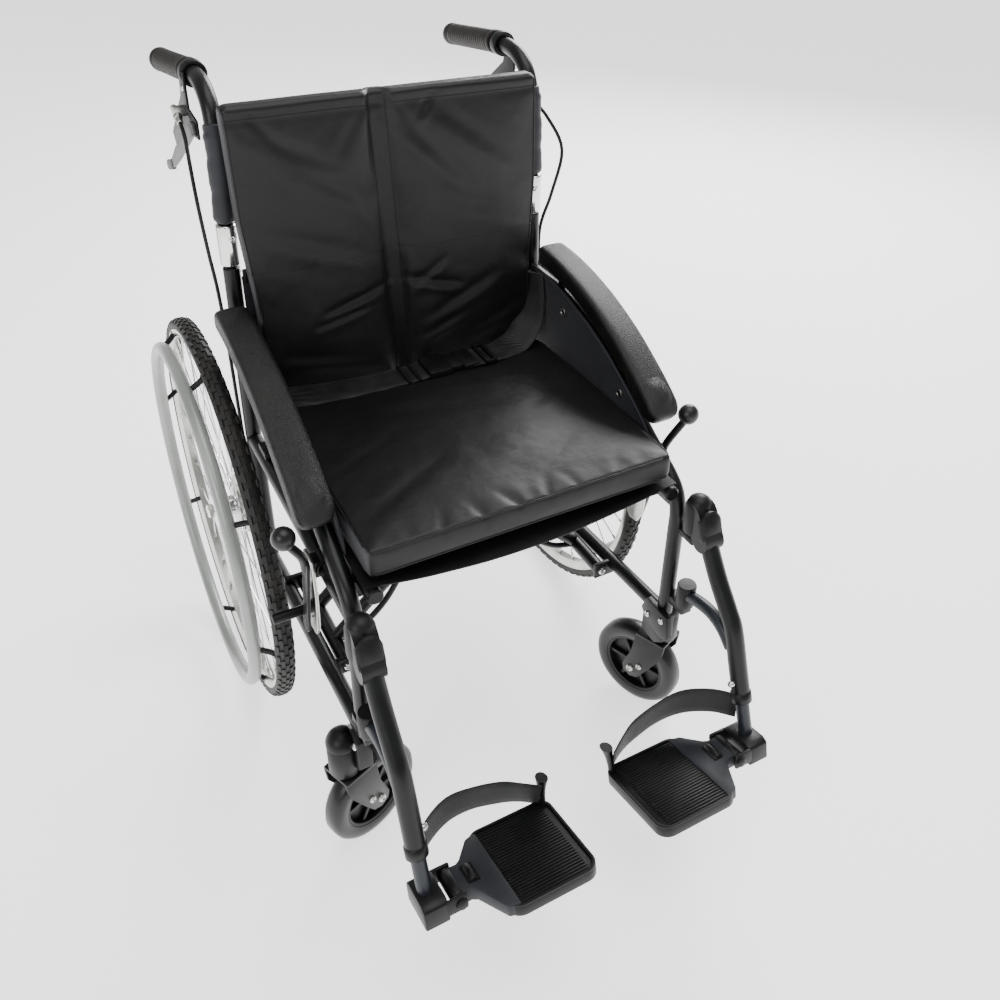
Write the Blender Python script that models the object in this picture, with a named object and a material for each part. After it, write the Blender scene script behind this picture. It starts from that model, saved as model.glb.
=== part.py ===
"""Folding wheelchair with attendant brakes. Metres, +Z up, the user faces -Y, +X is the user's left.

Lengths along Y are written from the rear axle, and the whole chair is moved by AXLE_Y at the end,
so that the origin is on the floor under the middle of the chair.
"""

import math

import bmesh
import bpy
from mathutils import Vector

# Driving dimensions
AXLE_Y = 0.2127            # rear axle, behind the middle of the chair
AXLE_Z = 0.303             # rear wheel radius: a 24 inch tyre
WHEEL_X = 0.287            # middle plane of a rear wheel
HANDRIM_X = 0.322
HANDRIM_R = 0.262
FRAME_X = 0.235            # middle of the side-frame tubes
TUBE_R = 0.011
POST_Y = -0.033            # back posts
POST_TOP_X = 0.231
HINGE_Y = -0.012           # back half-fold hinge
HINGE_Z = 0.716
RAIL_X = 0.211             # cross-brace rails, lower and upper
RAIL_LOW_Z = 0.219
RAIL_TOP_Z = 0.471
RAIL_R = 0.0105
UPRIGHT_Y = -0.455         # front uprights
SEAT_TUBE_Z = 0.440
CASTER_X = 0.260
CASTER_Y = -0.430
CASTER_R = 0.0735
CASTER_TRAIL = 0.038
CASTER_YAW = {"left": -21.7, "right": 69.0}    # degrees from straight back
HANGER_X = 0.240
HANGER_Y = -0.490          # swing-away pin
SLIDE_TOP = Vector((HANGER_X, -0.630, 0.221))   # mouth of the hanger tube
SLIDE_DOWN = Vector((0.0, -0.36, -0.933)).normalized()
PLATE_HINGE = Vector((0.207, -0.6515, 0.162))
PLATE_TILT = 14.5          # degrees, front edge up
BRAKE_PIVOT = (-0.335, 0.335)                   # y, z of the parking lever's pivot
SHOE_PIVOT = (-0.348, 0.378)
SHOE_TIP = (-0.3162, 0.345)
LEVER_PIVOT = (0.015, 0.888)                    # y, z of the attendant lever's pivot
GRIP_START_Y = 0.0755
ARM_X = (0.2228, 0.2722)
PAD_TOP = [(-0.065, 0.672), (-0.11, 0.670), (-0.16, 0.662), (-0.22, 0.646),
           (-0.28, 0.622), (-0.335, 0.592), (-0.375, 0.566), (-0.393, 0.548)]
PAD_THICKNESS = 0.031
SIDES = {"left": 1.0, "right": -1.0}


def clear_scene():
    for obj in list(bpy.data.objects):
        bpy.data.objects.remove(obj, do_unlink=True)


def paint(name, color, roughness, metallic=0.0):
    mat = bpy.data.materials.new(name)
    mat.use_nodes = True
    shader = mat.node_tree.nodes["Principled BSDF"]
    shader.inputs["Base Color"].default_value = (*color, 1.0)
    shader.inputs["Roughness"].default_value = roughness
    shader.inputs["Metallic"].default_value = metallic
    return mat


LOOKS = {
    "black_coat": ((0.012, 0.013, 0.016), 0.38, 0.3),
    "chrome": ((0.80, 0.80, 0.78), 0.15, 1.0),
    "aluminium": ((0.55, 0.55, 0.53), 0.35, 1.0),
    "handrim_grey": ((0.52, 0.54, 0.52), 0.35, 0.8),
    "rubber": ((0.014, 0.014, 0.014), 0.75, 0.0),
    "plastic": ((0.015, 0.015, 0.016), 0.5, 0.0),
    "fabric": ((0.010, 0.010, 0.013), 0.55, 0.0),
    "webbing": ((0.012, 0.012, 0.013), 0.8, 0.0),
}


# Mesh helpers

def solid(name, verts, faces, look):
    mesh = bpy.data.meshes.new(name)
    mesh.from_pydata([tuple(v) for v in verts], [], faces)
    shape = bmesh.new()
    shape.from_mesh(mesh)
    bmesh.ops.recalc_face_normals(shape, faces=shape.faces)
    shape.to_mesh(mesh)
    shape.free()
    mesh.materials.append(paint(name, *LOOKS[look]))
    obj = bpy.data.objects.new(name, mesh)
    bpy.context.collection.objects.link(obj)
    return obj


def smooth(points, steps=4):
    """Catmull-Rom curve through the points."""
    pts = [Vector(p) for p in points]
    pts = [2 * pts[0] - pts[1]] + pts + [2 * pts[-1] - pts[-2]]
    out = []
    for a, b, c, d in zip(pts, pts[1:], pts[2:], pts[3:]):
        for k in range(steps):
            t = k / steps
            out.append(0.5 * (2 * b + (c - a) * t + (2 * a - 5 * b + 4 * c - d) * t * t
                              + (3 * b - a - 3 * c + d) * t ** 3))
    out.append(pts[-2])
    return out


def tube(name, points, radius, look="black_coat", sides=8):
    """A solid round bar along the points, with flat ends."""
    pts = [Vector(p) for p in points]
    verts = []
    across = None
    for i, p in enumerate(pts):
        ahead = (pts[min(i + 1, len(pts) - 1)] - pts[max(i - 1, 0)]).normalized()
        if across is None:
            across = ahead.orthogonal().normalized()
        across = (across - across.dot(ahead) * ahead).normalized()
        other = ahead.cross(across)
        for k in range(sides):
            turn = 2 * math.pi * k / sides
            verts.append(p + radius * (math.cos(turn) * across + math.sin(turn) * other))
    faces = [[i * sides + k, i * sides + (k + 1) % sides, (i + 1) * sides + (k + 1) % sides, (i + 1) * sides + k]
             for i in range(len(pts) - 1) for k in range(sides)]
    faces.append(list(range(sides))[::-1])
    faces.append([(len(pts) - 1) * sides + k for k in range(sides)])
    return solid(name, verts, faces, look)


def box(name, low, high, look="black_coat"):
    verts = [(x, y, z) for x in sorted((low[0], high[0])) for y in (low[1], high[1]) for z in (low[2], high[2])]
    faces = [[0, 1, 3, 2], [4, 6, 7, 5], [0, 4, 5, 1], [2, 3, 7, 6], [0, 2, 6, 4], [1, 5, 7, 3]]
    return solid(name, verts, faces, look)


def slab(name, x_low, x_high, outline, look="black_coat"):
    """An outline of (y, z) points, drawn out along X."""
    n = len(outline)
    verts = [(x, y, z) for x in (x_low, x_high) for y, z in outline]
    faces = [list(range(n))[::-1], list(range(n, 2 * n))]
    faces += [[k, (k + 1) % n, n + (k + 1) % n, n + k] for k in range(n)]
    return solid(name, verts, faces, look)


def turned(name, centre, axis, profile, look, count=40):
    """A closed profile of (along, radius) points, turned about an axis."""
    axis = Vector(axis).normalized()
    across = axis.orthogonal().normalized()
    other = axis.cross(across)
    n = len(profile)
    verts = []
    for i in range(count):
        turn = 2 * math.pi * i / count
        out = math.cos(turn) * across + math.sin(turn) * other
        verts += [Vector(centre) + a * axis + r * out for a, r in profile]
    faces = [[i * n + k, i * n + (k + 1) % n, (i + 1) % count * n + (k + 1) % n, (i + 1) % count * n + k]
             for i in range(count) for k in range(n)]
    return solid(name, verts, faces, look)


def boolean(base, others, operation="UNION"):
    """Applies the Booleans and removes the other shapes."""
    for other in others:
        step = base.modifiers.new(other.name, "BOOLEAN")
        step.operation = operation
        step.object = other
    graph = bpy.context.evaluated_depsgraph_get()
    mesh = bpy.data.meshes.new_from_object(base.evaluated_get(graph))
    base.modifiers.clear()
    base.data = mesh
    for other in others:
        bpy.data.objects.remove(other, do_unlink=True)
    return base


def rounded_bar(start, end, half_width, steps=5):
    """Outline of a flat bar with round ends between two (y, z) points."""
    (y0, z0), (y1, z1) = start, end
    heading = math.atan2(z1 - z0, y1 - y0)
    points = []
    for (y, z), first in (((y1, z1), -90), ((y0, z0), 90)):
        for k in range(steps + 1):
            turn = heading + math.radians(first + 180 * k / steps)
            points.append((y + half_width * math.cos(turn), z + half_width * math.sin(turn)))
    return points


def body(name, at, parent=None):
    """An empty on a joint's axis, which carries one moving body."""
    empty = bpy.data.objects.new("axis_" + name, None)
    bpy.context.collection.objects.link(empty)
    if parent:
        empty.parent = parent
        empty.location = Vector(at) - parent_place(parent)
    else:
        empty.location = at
    return empty


def parent_place(empty):
    place = Vector(empty.location)
    while empty.parent:
        empty = empty.parent
        place += Vector(empty.location)
    return place


def ride(empty, *pieces):
    for piece in pieces:
        piece.parent = empty
        piece.location = -parent_place(empty)


# Side frames

def pad_bottom(y):
    for (y1, z1), (y0, z0) in zip(PAD_TOP, PAD_TOP[1:]):
        if y0 <= y <= y1:
            return z0 + (z1 - z0) * (y - y0) / (y1 - y0) - PAD_THICKNESS
    return PAD_TOP[-1][1] - PAD_THICKNESS


def side_frame(side, s):
    x = s * FRAME_X
    hoop = [(-0.455, 0.238), (-0.455, 0.30), (-0.455, 0.38), (-0.4545, 0.425), (-0.446, 0.453), (-0.425, 0.472),
            (-0.39, 0.491), (-0.356, 0.511), (-0.30, 0.549), (-0.235, 0.586), (-0.16, 0.609), (-0.09, 0.617),
            (POST_Y, 0.618)]
    frame = tube(f"{side}_side_frame", smooth([(x, y, z) for y, z in hoop], 1), TUBE_R)
    post = [(x, POST_Y, 0.205), (x, POST_Y, 0.45), (s * POST_TOP_X, POST_Y, 0.7145)]
    parts = [
        tube("lower_tube", [(x, POST_Y - 0.002, 0.2075), (x, UPRIGHT_Y + 0.001, 0.2355)], TUBE_R),
        tube("seat_tube", [(x, POST_Y - 0.001, SEAT_TUBE_Z), (x, UPRIGHT_Y + 0.0015, SEAT_TUBE_Z)], TUBE_R),
        tube("back_post", post, TUBE_R + 0.0002),
        box("axle_plate", (s * 0.2285, -0.040, 0.262), (s * 0.2415, 0.024, 0.346)),
        tube("axle_boss", [(s * 0.2255, 0, AXLE_Z), (s * 0.2470, 0, AXLE_Z)], 0.017, sides=14),
        box("hinge_lug", (s * 0.2195, -0.034, 0.690), (s * 0.2295, -0.004, 0.7140)),
        box("hinge_finger", (s * 0.2195, -0.0166, 0.705), (s * 0.2295, -0.0040, 0.7202)),
        box("caster_bracket", (s * 0.2300, -0.4605, 0.165), (s * 0.2630, -0.412, 0.2285)),
        box("inner_plate", (s * 0.2185, -0.487, 0.205), (s * 0.2285, -0.420, 0.250)),
        box("upper_lug", (s * 0.2310, -0.4965, 0.396), (s * 0.2490, -0.450, 0.4055)),
        tube("upper_pin", [(s * HANGER_X, HANGER_Y, 0.400), (s * HANGER_X, HANGER_Y, 0.4175)], 0.005, sides=8),
        box("lower_lug", (s * 0.2310, -0.4965, 0.2655), (s * 0.2490, -0.450, 0.2795)),
        box("front_bracket", (s * 0.2010, -0.3210, 0.2065), (s * 0.2400, -0.3140, 0.2330)),
        box("rear_bracket", (s * 0.2010, -0.1260, 0.2030), (s * 0.2400, -0.1190, 0.2330)),
        box("front_saddle", (s * 0.2010, -0.4200, 0.4360), (s * 0.2400, -0.3850, 0.4598)),
        box("rear_saddle", (s * 0.2010, -0.1150, 0.4360), (s * 0.2400, -0.0800, 0.4598)),
    ]
    for y, hoop_z in ((-0.12, 0.612), (-0.30, 0.549)):
        top = (s * (FRAME_X + 0.004), y, pad_bottom(y) - 0.0040)
        parts.append(tube(f"pad_peg_{-y:.2f}", [(s * (FRAME_X + 0.004), y, hoop_z), top], 0.0062, sides=8))
    housing = [(0.1545, 0.0), (0.1545, 0.020), (0.207, 0.020), (0.218, 0.0165), (0.225, 0.009), (0.228, 0.0)]
    parts.append(lathe("caster_housing", (s * CASTER_X, CASTER_Y, 0), housing))
    return boolean(frame, parts)


def lathe(name, centre, outline, look="black_coat", count=16):
    """A solid about Z from (z, radius) points whose first and last radius is 0."""
    cx, cy, cz = centre
    rings = outline[1:-1]
    verts = [(cx, cy, cz + outline[0][0])]
    for z, r in rings:
        for k in range(count):
            turn = 2 * math.pi * k / count
            verts.append((cx + r * math.cos(turn), cy + r * math.sin(turn), cz + z))
    verts.append((cx, cy, cz + outline[-1][0]))
    last = len(verts) - 1
    faces = [[0, 1 + (k + 1) % count, 1 + k] for k in range(count)]
    for i in range(len(rings) - 1):
        a = 1 + i * count
        b = a + count
        faces += [[a + k, a + (k + 1) % count, b + (k + 1) % count, b + k] for k in range(count)]
    top = 1 + (len(rings) - 1) * count
    faces += [[last, top + k, top + (k + 1) % count] for k in range(count)]
    return solid(name, verts, faces, look)


def arm_pad(side, s):
    top = list(PAD_TOP)
    bottom = [(y, z - PAD_THICKNESS) for y, z in PAD_TOP]
    nose = [(-0.403, 0.531)]
    return slab(f"{side}_arm_pad", s * ARM_X[0], s * ARM_X[1], top + nose + bottom[::-1], "plastic")


def side_panel(side, s):
    top = [(y, pad_bottom(y) - 0.003) for y in (-0.068, -0.11, -0.16, -0.22, -0.28, -0.335, -0.375, -0.392)]
    top = [(-0.052, 0.636)] + top + [(-0.405, 0.500)]
    return slab(f"{side}_side_panel", s * 0.2220, s * 0.2236, [(-0.052, 0.492)] + top + [(-0.402, 0.492)], "fabric")


# Cross brace

def brace_arm(name, low_side, legs_y):
    """One half of the cross brace: a lower rail on one side, and a seat rail on the other."""
    low = low_side * RAIL_X
    rail = tube(name, [(low, -0.3136, RAIL_LOW_Z), (low, -0.1264, RAIL_LOW_Z)], RAIL_R, sides=10)
    middle = (RAIL_LOW_Z + RAIL_TOP_Z) / 2
    rise = [(1.0, 0.0), (0.78, 0.044), (0.58, 0.082), (0.36, 0.104)]
    legs = []
    for y in legs_y:
        lower = [(low * t, y, RAIL_LOW_Z + z) for t, z in rise]
        upper = [(-px, y, 2 * middle - pz) for px, _, pz in lower[::-1]]
        legs.append(tube(f"leg_{-y:.3f}", lower + [(0, y, middle)] + upper, 0.0095))
    seat_rail = tube("seat_rail", [(-low, -0.467, RAIL_TOP_Z), (-low, -0.084, RAIL_TOP_Z)], RAIL_R, sides=10)
    front_y = legs_y[0]
    stay = [(low * 0.97, front_y, RAIL_LOW_Z - 0.004), (low * 0.80, front_y, RAIL_LOW_Z + 0.008),
            (low * 0.62, front_y, RAIL_LOW_Z + 0.040), (low * 0.46, front_y, RAIL_LOW_Z + 0.092)]
    stay = tube("stay", smooth(stay, 2), 0.0045, sides=6)
    boolean(rail, [seat_rail, stay] + legs)
    bore = tube("bore", [(0, -0.40, middle), (0, -0.05, middle)], 0.0048, sides=10)
    return boolean(rail, [bore], "DIFFERENCE")


def brace_bolt():
    middle = (RAIL_LOW_Z + RAIL_TOP_Z) / 2
    return tube("brace_pivot_bolt", [(0, -0.290, middle), (0, -0.140, middle)], 0.0042, "aluminium", sides=10)


# Rear wheels

def rear_wheel(side, s):
    centre = (s * WHEEL_X, 0, AXLE_Z)
    axis = (s, 0, 0)
    tyre_profile = [(-0.0115, 0.2866), (0.0115, 0.2866), (0.0125, 0.2915), (0.0092, 0.2990), (0.0, 0.3030),
                    (-0.0092, 0.2990), (-0.0125, 0.2915)]
    tyre = turned(f"{side}_tyre", centre, axis, tyre_profile, "rubber", 36)
    rim_profile = [(-0.0118, 0.2862), (-0.0118, 0.2790), (-0.006, 0.2725), (0.006, 0.2725), (0.0118, 0.2790),
                   (0.0118, 0.2862)]
    rim = turned(f"{side}_rim", centre, axis, rim_profile, "aluminium", 36)
    hub_profile = [(-0.0180, 0.0066), (0.0210, 0.0066), (0.0210, 0.020), (0.0180, 0.028), (0.0150, 0.028),
                   (0.0120, 0.015), (-0.0120, 0.015), (-0.0140, 0.028), (-0.0170, 0.028)]
    hub = turned(f"{side}_hub_spokes", centre, axis, hub_profile, "aluminium", 16)
    spokes = []
    count = 16
    for i in range(count):
        turn = 2 * math.pi * (i + 0.25) / count
        away = Vector((0, math.cos(turn), math.sin(turn)))
        flange = 0.0165 if i % 2 else -0.0155
        start = Vector(centre) + Vector((s * flange, 0, 0)) + 0.0255 * away
        end = Vector(centre) + 0.2710 * away
        spokes.append(tube(f"spoke_{i}", [start, end], 0.0013, "aluminium", sides=4))
    boolean(hub, spokes)
    handrim = turned(f"{side}_handrim", (s * HANDRIM_X, 0, AXLE_Z), axis,
                     [(0.0098 * math.cos(math.radians(60 * k)), HANDRIM_R + 0.0098 * math.sin(math.radians(60 * k)))
                      for k in range(6)], "handrim_grey", 40)
    posts = []
    for i in range(8):
        turn = 2 * math.pi * (i + 0.3) / 8
        away = Vector((0, math.cos(turn), math.sin(turn)))
        start = Vector((s * 0.3185, 0, AXLE_Z)) + 0.2655 * away
        end = Vector((s * (WHEEL_X + 0.0146), 0, AXLE_Z)) + 0.2790 * away
        posts.append(tube(f"post_{i}", [start, end], 0.004, "plastic", sides=6))
    boolean(handrim, posts)
    wheel = body(f"{side}_wheel", (s * WHEEL_X, 0, AXLE_Z))
    ride(wheel, tyre, rim, hub, handrim)


def drum_and_axle(side, s):
    drum_profile = [(0.2475, 0.0066), (0.2685, 0.0066), (0.2685, 0.030), (0.2640, 0.047), (0.2475, 0.050)]
    turned(f"{side}_drum_brake", (0, 0, AXLE_Z), (s, 0, 0), drum_profile, "aluminium", 20)
    axle = tube(f"{side}_wheel_axle", [(s * 0.2475, 0, AXLE_Z), (s * 0.312, 0, AXLE_Z)], 0.006, "chrome", 10)
    boolean(axle, [tube("cap", [(s * 0.3085, 0, AXLE_Z), (s * 0.3165, 0, AXLE_Z)], 0.011, "chrome", 12)])


# Casters

def caster(side, s):
    yaw = math.radians(CASTER_YAW[side])
    back = Vector((math.sin(yaw), math.cos(yaw), 0))
    across = Vector((math.cos(yaw), -math.sin(yaw), 0))
    stem = Vector((s * CASTER_X, CASTER_Y, 0))
    hub = stem + CASTER_TRAIL * back + Vector((0, 0, CASTER_R - 0.0002))

    def at(a, b, z):
        return stem + a * back + b * across + Vector((0, 0, z))

    def prism(name, outline, b_low, b_high):
        n = len(outline)
        verts = [at(a, b, z) for b in (b_low, b_high) for a, z in outline]
        faces = [list(range(n))[::-1], list(range(n, 2 * n))]
        faces += [[k, (k + 1) % n, n + (k + 1) % n, n + k] for k in range(n)]
        return solid(name, verts, faces, "black_coat")

    crown = [(-0.017, 0.1488), (0.034, 0.1488), (0.034, 0.1541), (-0.017, 0.1541)]
    cheek = [(-0.0155, 0.1525), (-0.012, 0.125), (0.022, 0.062), (0.038, 0.056), (0.050, 0.066), (0.050, 0.082),
             (0.0325, 0.1525)]
    fork = prism(f"{side}_caster_fork", crown, -0.0235, 0.0235)
    boolean(fork, [prism("cheek_a", cheek, -0.0240, -0.0195), prism("cheek_b", cheek, 0.0195, 0.0240)])
    swivel = body(f"{side}_caster", (s * CASTER_X, CASTER_Y, 0.154))
    tread = [(-0.0170, 0.0052), (0.0170, 0.0052), (0.0170, 0.016), (0.0120, 0.048), (0.0150, 0.066),
             (0.0080, 0.0735), (-0.0080, 0.0735), (-0.0150, 0.066), (-0.0120, 0.048), (-0.0170, 0.016)]
    wheel = turned(f"{side}_caster_wheel", hub, across, tread, "rubber", 28)
    bolt = tube(f"{side}_caster_axle", [hub - 0.0191 * across, hub + 0.0191 * across], 0.0042, "aluminium", 8)
    roll = body(f"{side}_caster_wheel", hub, swivel)
    ride(swivel, fork, bolt)
    ride(roll, wheel)


# Leg rests

def leg_rest(side, s):
    pin = (s * HANGER_X, HANGER_Y, 0.45)
    path = [(-0.504, 0.452), (-0.512, 0.428), (-0.545, 0.378), (-0.575, 0.342)]
    up = -SLIDE_DOWN
    straight = SLIDE_TOP + 0.105 * up
    points = smooth([(s * HANGER_X, y, z) for y, z in path] + [(s * HANGER_X, straight.y, straight.z)], 2)
    points.append(Vector((s * HANGER_X, SLIDE_TOP.y, SLIDE_TOP.z)))
    hanger = tube(f"{side}_hanger", points, 0.0125, sides=10)
    oval = [(y, z) for y, z in rounded_bar((-0.508, 0.444), (-0.516, 0.421), 0.0165)]
    brace = [(-0.492, 0.2985), (-0.52, 0.306), (-0.548, 0.309), (-0.572, 0.302), (-0.594, 0.286)]
    parts = [
        lathe("cap", (s * HANGER_X, HANGER_Y, 0), [(0.418, 0), (0.418, 0.0175), (0.462, 0.0175), (0.472, 0.011),
                                                   (0.473, 0)]),
        slab("oval", s * (HANGER_X - 0.0155), s * (HANGER_X + 0.0155), oval),
        lathe("latch", (s * HANGER_X, HANGER_Y, 0), [(0.2800, 0), (0.2800, 0.0135), (0.318, 0.0135), (0.318, 0)]),
        tube("brace", smooth([(s * HANGER_X, y, z) for y, z in brace], 3), 0.009),
    ]
    boolean(hanger, parts)
    mouth = Vector((s * HANGER_X, SLIDE_TOP.y, SLIDE_TOP.z))
    bore = tube("bore", [mouth + 0.01 * SLIDE_DOWN, mouth + 0.098 * up], 0.0102, sides=12)
    boolean(hanger, [bore], "DIFFERENCE")
    swing = body(f"{side}_hanger", pin)
    ride(swing, hanger)

    foot = mouth + 0.070 * SLIDE_DOWN
    slider = tube(f"{side}_footrest_tube", [mouth + 0.072 * up, foot], 0.0094, sides=12)
    ears = [
        slab("clamp", s * 0.2235, s * 0.2535, tilted([(-0.0285, -0.0145), (0.0285, -0.0145), (0.0285, 0.0125),
                                                      (-0.0285, 0.0125)])),
        slab("front_ear", s * 0.199, s * 0.2265, tilted([(-0.0290, -0.010), (-0.0235, -0.010), (-0.0235, 0.010),
                                                        (-0.0290, 0.010)])),
        slab("rear_ear", s * 0.199, s * 0.2265, tilted([(0.0235, -0.010), (0.0290, -0.010), (0.0290, 0.010),
                                                       (0.0235, 0.010)])),
    ]
    boolean(slider, ears)
    slide = body(f"{side}_footrest", mouth, swing)
    ride(slide, slider)

    plate = footplate(side, s)
    strap = heel_strap(side, s)
    flip = body(f"{side}_footplate", (s * PLATE_HINGE.x, PLATE_HINGE.y, PLATE_HINGE.z), slide)
    ride(flip, plate, strap)


def tilted(points):
    """Turns (y, z) offsets from the footplate hinge by the plate's tilt, to (y, z) places."""
    c = math.cos(math.radians(PLATE_TILT))
    t = math.sin(math.radians(PLATE_TILT))
    return [(PLATE_HINGE.y + a * c + b * t, PLATE_HINGE.z - a * t + b * c) for a, b in points]


def plate_solid(name, s, outline, low, high, look="plastic"):
    """An outline of (x, along) points in the tilted plane of the footplate."""
    n = len(outline)
    verts = []
    for b in (low, high):
        for x, a in outline:
            y, z = tilted([(a, b)])[0]
            verts.append((s * x, y, z))
    faces = [list(range(n))[::-1], list(range(n, 2 * n))]
    faces += [[k, (k + 1) % n, n + (k + 1) % n, n + k] for k in range(n)]
    return solid(name, verts, faces, look)


def footplate(side, s):
    outline = [(0.2060, -0.0225), (0.2060, 0.0225), (0.1920, 0.0225), (0.187, 0.0260), (0.172, 0.052),
               (0.150, 0.058), (0.060, 0.060), (0.050, 0.052), (0.045, -0.066), (0.053, -0.076), (0.168, -0.074),
               (0.178, -0.066), (0.187, -0.0260), (0.1920, -0.0225)]
    plate = plate_solid(f"{side}_footplate", s, outline, -0.010, 0.005)
    barrel = [tilted([(a, 0)])[0] for a in (-0.0229, 0.0229)]
    barrel = tube("barrel", [(s * PLATE_HINGE.x, y, z) for y, z in barrel], 0.0095, "plastic", 12)
    post = plate_solid("post", s, [(0.047, 0.046), (0.047, 0.058), (0.060, 0.058), (0.060, 0.046)], 0.0, 0.040)
    return boolean(plate, [barrel, post])


def heel_strap(side, s):
    route = smooth([(0.2235, -0.6065), (0.200, -0.589), (0.160, -0.576), (0.115, -0.574), (0.085, -0.580),
                    (0.0625, -0.5860)], 3)
    heights = (0.192, 0.236, 0.166, 0.200)
    n = len(route)
    verts = []
    for offset in (0.0, 0.0025):
        for k, p in enumerate(route):
            t = k / (n - 1)
            verts.append((s * p[0], p[1] + offset, heights[0] + (heights[2] - heights[0]) * t))
            verts.append((s * p[0], p[1] + offset, heights[1] + (heights[3] - heights[1]) * t))
    m = 2 * n
    faces = []
    for k in range(n - 1):
        a = 2 * k
        faces += [[a, a + 1, a + 3, a + 2], [m + a, m + a + 2, m + a + 3, m + a + 1],
                  [a, a + 2, m + a + 2, m + a], [a + 1, m + a + 1, m + a + 3, a + 3]]
    faces += [[0, m, m + 1, 1], [m - 2, m - 1, 2 * m - 1, 2 * m - 2]]
    return solid(f"{side}_heel_strap", verts, faces, "webbing")


# Parking brakes

def parking_brake(side, s):
    arm = slab(f"{side}_parking_bracket", s * 0.2500, s * 0.2555,
               [(-0.362, 0.458), (-0.330, 0.458), (-0.322, 0.400), (-0.318, 0.330), (-0.332, 0.318), (-0.350, 0.330),
                (-0.358, 0.400)], "aluminium")
    clamp = box("clamp", (s * 0.2210, -0.358, 0.425), (s * 0.2510, -0.334, 0.4560), "aluminium")
    boolean(arm, [clamp])
    hole = box("hole", (s * 0.2237, -0.37, 0.4287), (s * 0.2463, -0.32, 0.4513), "aluminium")
    boolean(arm, [hole], "DIFFERENCE")

    shoe = slab(f"{side}_parking_shoe", s * 0.2562, s * 0.2600, rounded_bar(SHOE_PIVOT, SHOE_TIP, 0.008), "plastic")
    bar = tube("bar", [(s * 0.2575, *SHOE_TIP), (s * 0.3020, *SHOE_TIP)], 0.007, "plastic", 8)
    ride(body(f"{side}_parking_shoe", (s * 0.2580, *SHOE_PIVOT)), boolean(shoe, [bar]))

    blade = rounded_bar(BRAKE_PIVOT, (-0.372, 0.470), 0.009)
    lever = slab(f"{side}_parking_lever", s * 0.2607, s * 0.2655, blade, "black_coat")
    neck = tube("neck", [(s * 0.263, -0.368, 0.455), (s * 0.268, -0.376, 0.485), (s * 0.287, -0.386, 0.522)], 0.006,
                "black_coat", 8)
    knob = ball("knob", (s * 0.289, -0.388, 0.531), 0.0165)
    ride(body(f"{side}_parking_lever", (s * 0.2630, *BRAKE_PIVOT)), boolean(lever, [neck, knob]))


def ball(name, centre, radius, look="plastic"):
    outline = [(-radius, 0.0)]
    outline += [(-radius * math.cos(math.radians(a)), radius * math.sin(math.radians(a))) for a in range(30, 180, 30)]
    outline.append((radius, 0.0))
    return lathe(name, centre, outline, look, 10)


# Back

def back_post(side, s):
    path = [(0.2292, POST_Y, 0.7762), (0.2275, POST_Y, 0.83), (0.2258, -0.031, 0.885), (0.2245, -0.016, 0.922),
            (0.2242, 0.016, 0.943), (0.2245, 0.050, 0.9465), (0.2247, GRIP_START_Y - 0.0030, 0.9455)]
    return tube(f"{side}_back_post", smooth([(s * x, y, z) for x, y, z in path], 2), 0.0112, sides=12)


def hinge_sleeve(side, s):
    x = s * (POST_TOP_X - 0.0005)
    sleeve = tube(f"{side}_hinge_sleeve", [(x, POST_Y, 0.7175), (x - s * 0.0013, POST_Y, 0.7757)], 0.0135, "chrome", 14)
    lug = box("lug", (s * 0.2303, -0.030, 0.7175), (s * 0.2395, -0.004, 0.742), "chrome")
    foot = box("foot", (s * 0.2303, -0.0170, 0.709), (s * 0.2395, -0.004, 0.720), "chrome")
    return boolean(sleeve, [lug, foot])


def push_grip(side, s):
    path = [(0.2248, GRIP_START_Y, 0.9455), (0.2275, 0.16, 0.9360), (0.2302, 0.247, 0.9245)]
    return tube(f"{side}_grip", [(s * x, y, z) for x, y, z in path], 0.0165, "rubber", 14)


def attendant_brake(side, s):
    ring = turned(f"{side}_brake_bracket", (s * 0.2246, 0.050, 0.9465), (0, 1, 0),
                  [(0.0, 0.0124), (0.016, 0.0124), (0.016, 0.0172), (0.0, 0.0172)], "plastic", 16)
    outline = [(0.044, 0.951), (0.068, 0.951), (0.080, 0.915), (0.130, 0.880), (0.186, 0.838), (0.174, 0.822),
               (0.110, 0.858), (0.060, 0.872), (0.004, 0.876), (0.004, 0.900), (0.045, 0.906)]
    plate = slab("plate", s * 0.2375, s * 0.2405, outline, "plastic")
    shelf = box("shelf", (s * 0.2385, 0.058, 0.893), (s * 0.2560, 0.070, 0.905), "aluminium")
    barrel = tube("barrel", [(s * 0.2520, 0.072, 0.899), (s * 0.2520, 0.045, 0.888)], 0.0042, "aluminium", 8)
    boolean(ring, [plate, shelf, barrel])
    lever = slab(f"{side}_brake_lever", s * 0.2410, s * 0.2450,
                 [(0.008, 0.896), (0.006, 0.882), (0.030, 0.871), (0.150, 0.806), (0.238, 0.764), (0.252, 0.764),
                  (0.256, 0.776), (0.160, 0.824), (0.034, 0.889), (0.020, 0.897)], "aluminium")
    return ring, lever


def cable_route(s, bow):
    return [(s * 0.2520, 0.0445, 0.8876), (s * 0.2535, 0.020, 0.874), (s * (0.2560 + 0.4 * bow), -0.006, 0.848),
            (s * (0.2545 + bow), -0.020, 0.800), (s * (0.2530 + 0.55 * bow), -0.022, 0.735),
            (s * 0.2515, -0.024, 0.680), (s * 0.2500, -0.028, 0.600), (s * 0.2500, -0.030, 0.480),
            (s * 0.2505, -0.034, 0.400), (s * 0.2530, -0.040, 0.3495)]


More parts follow.
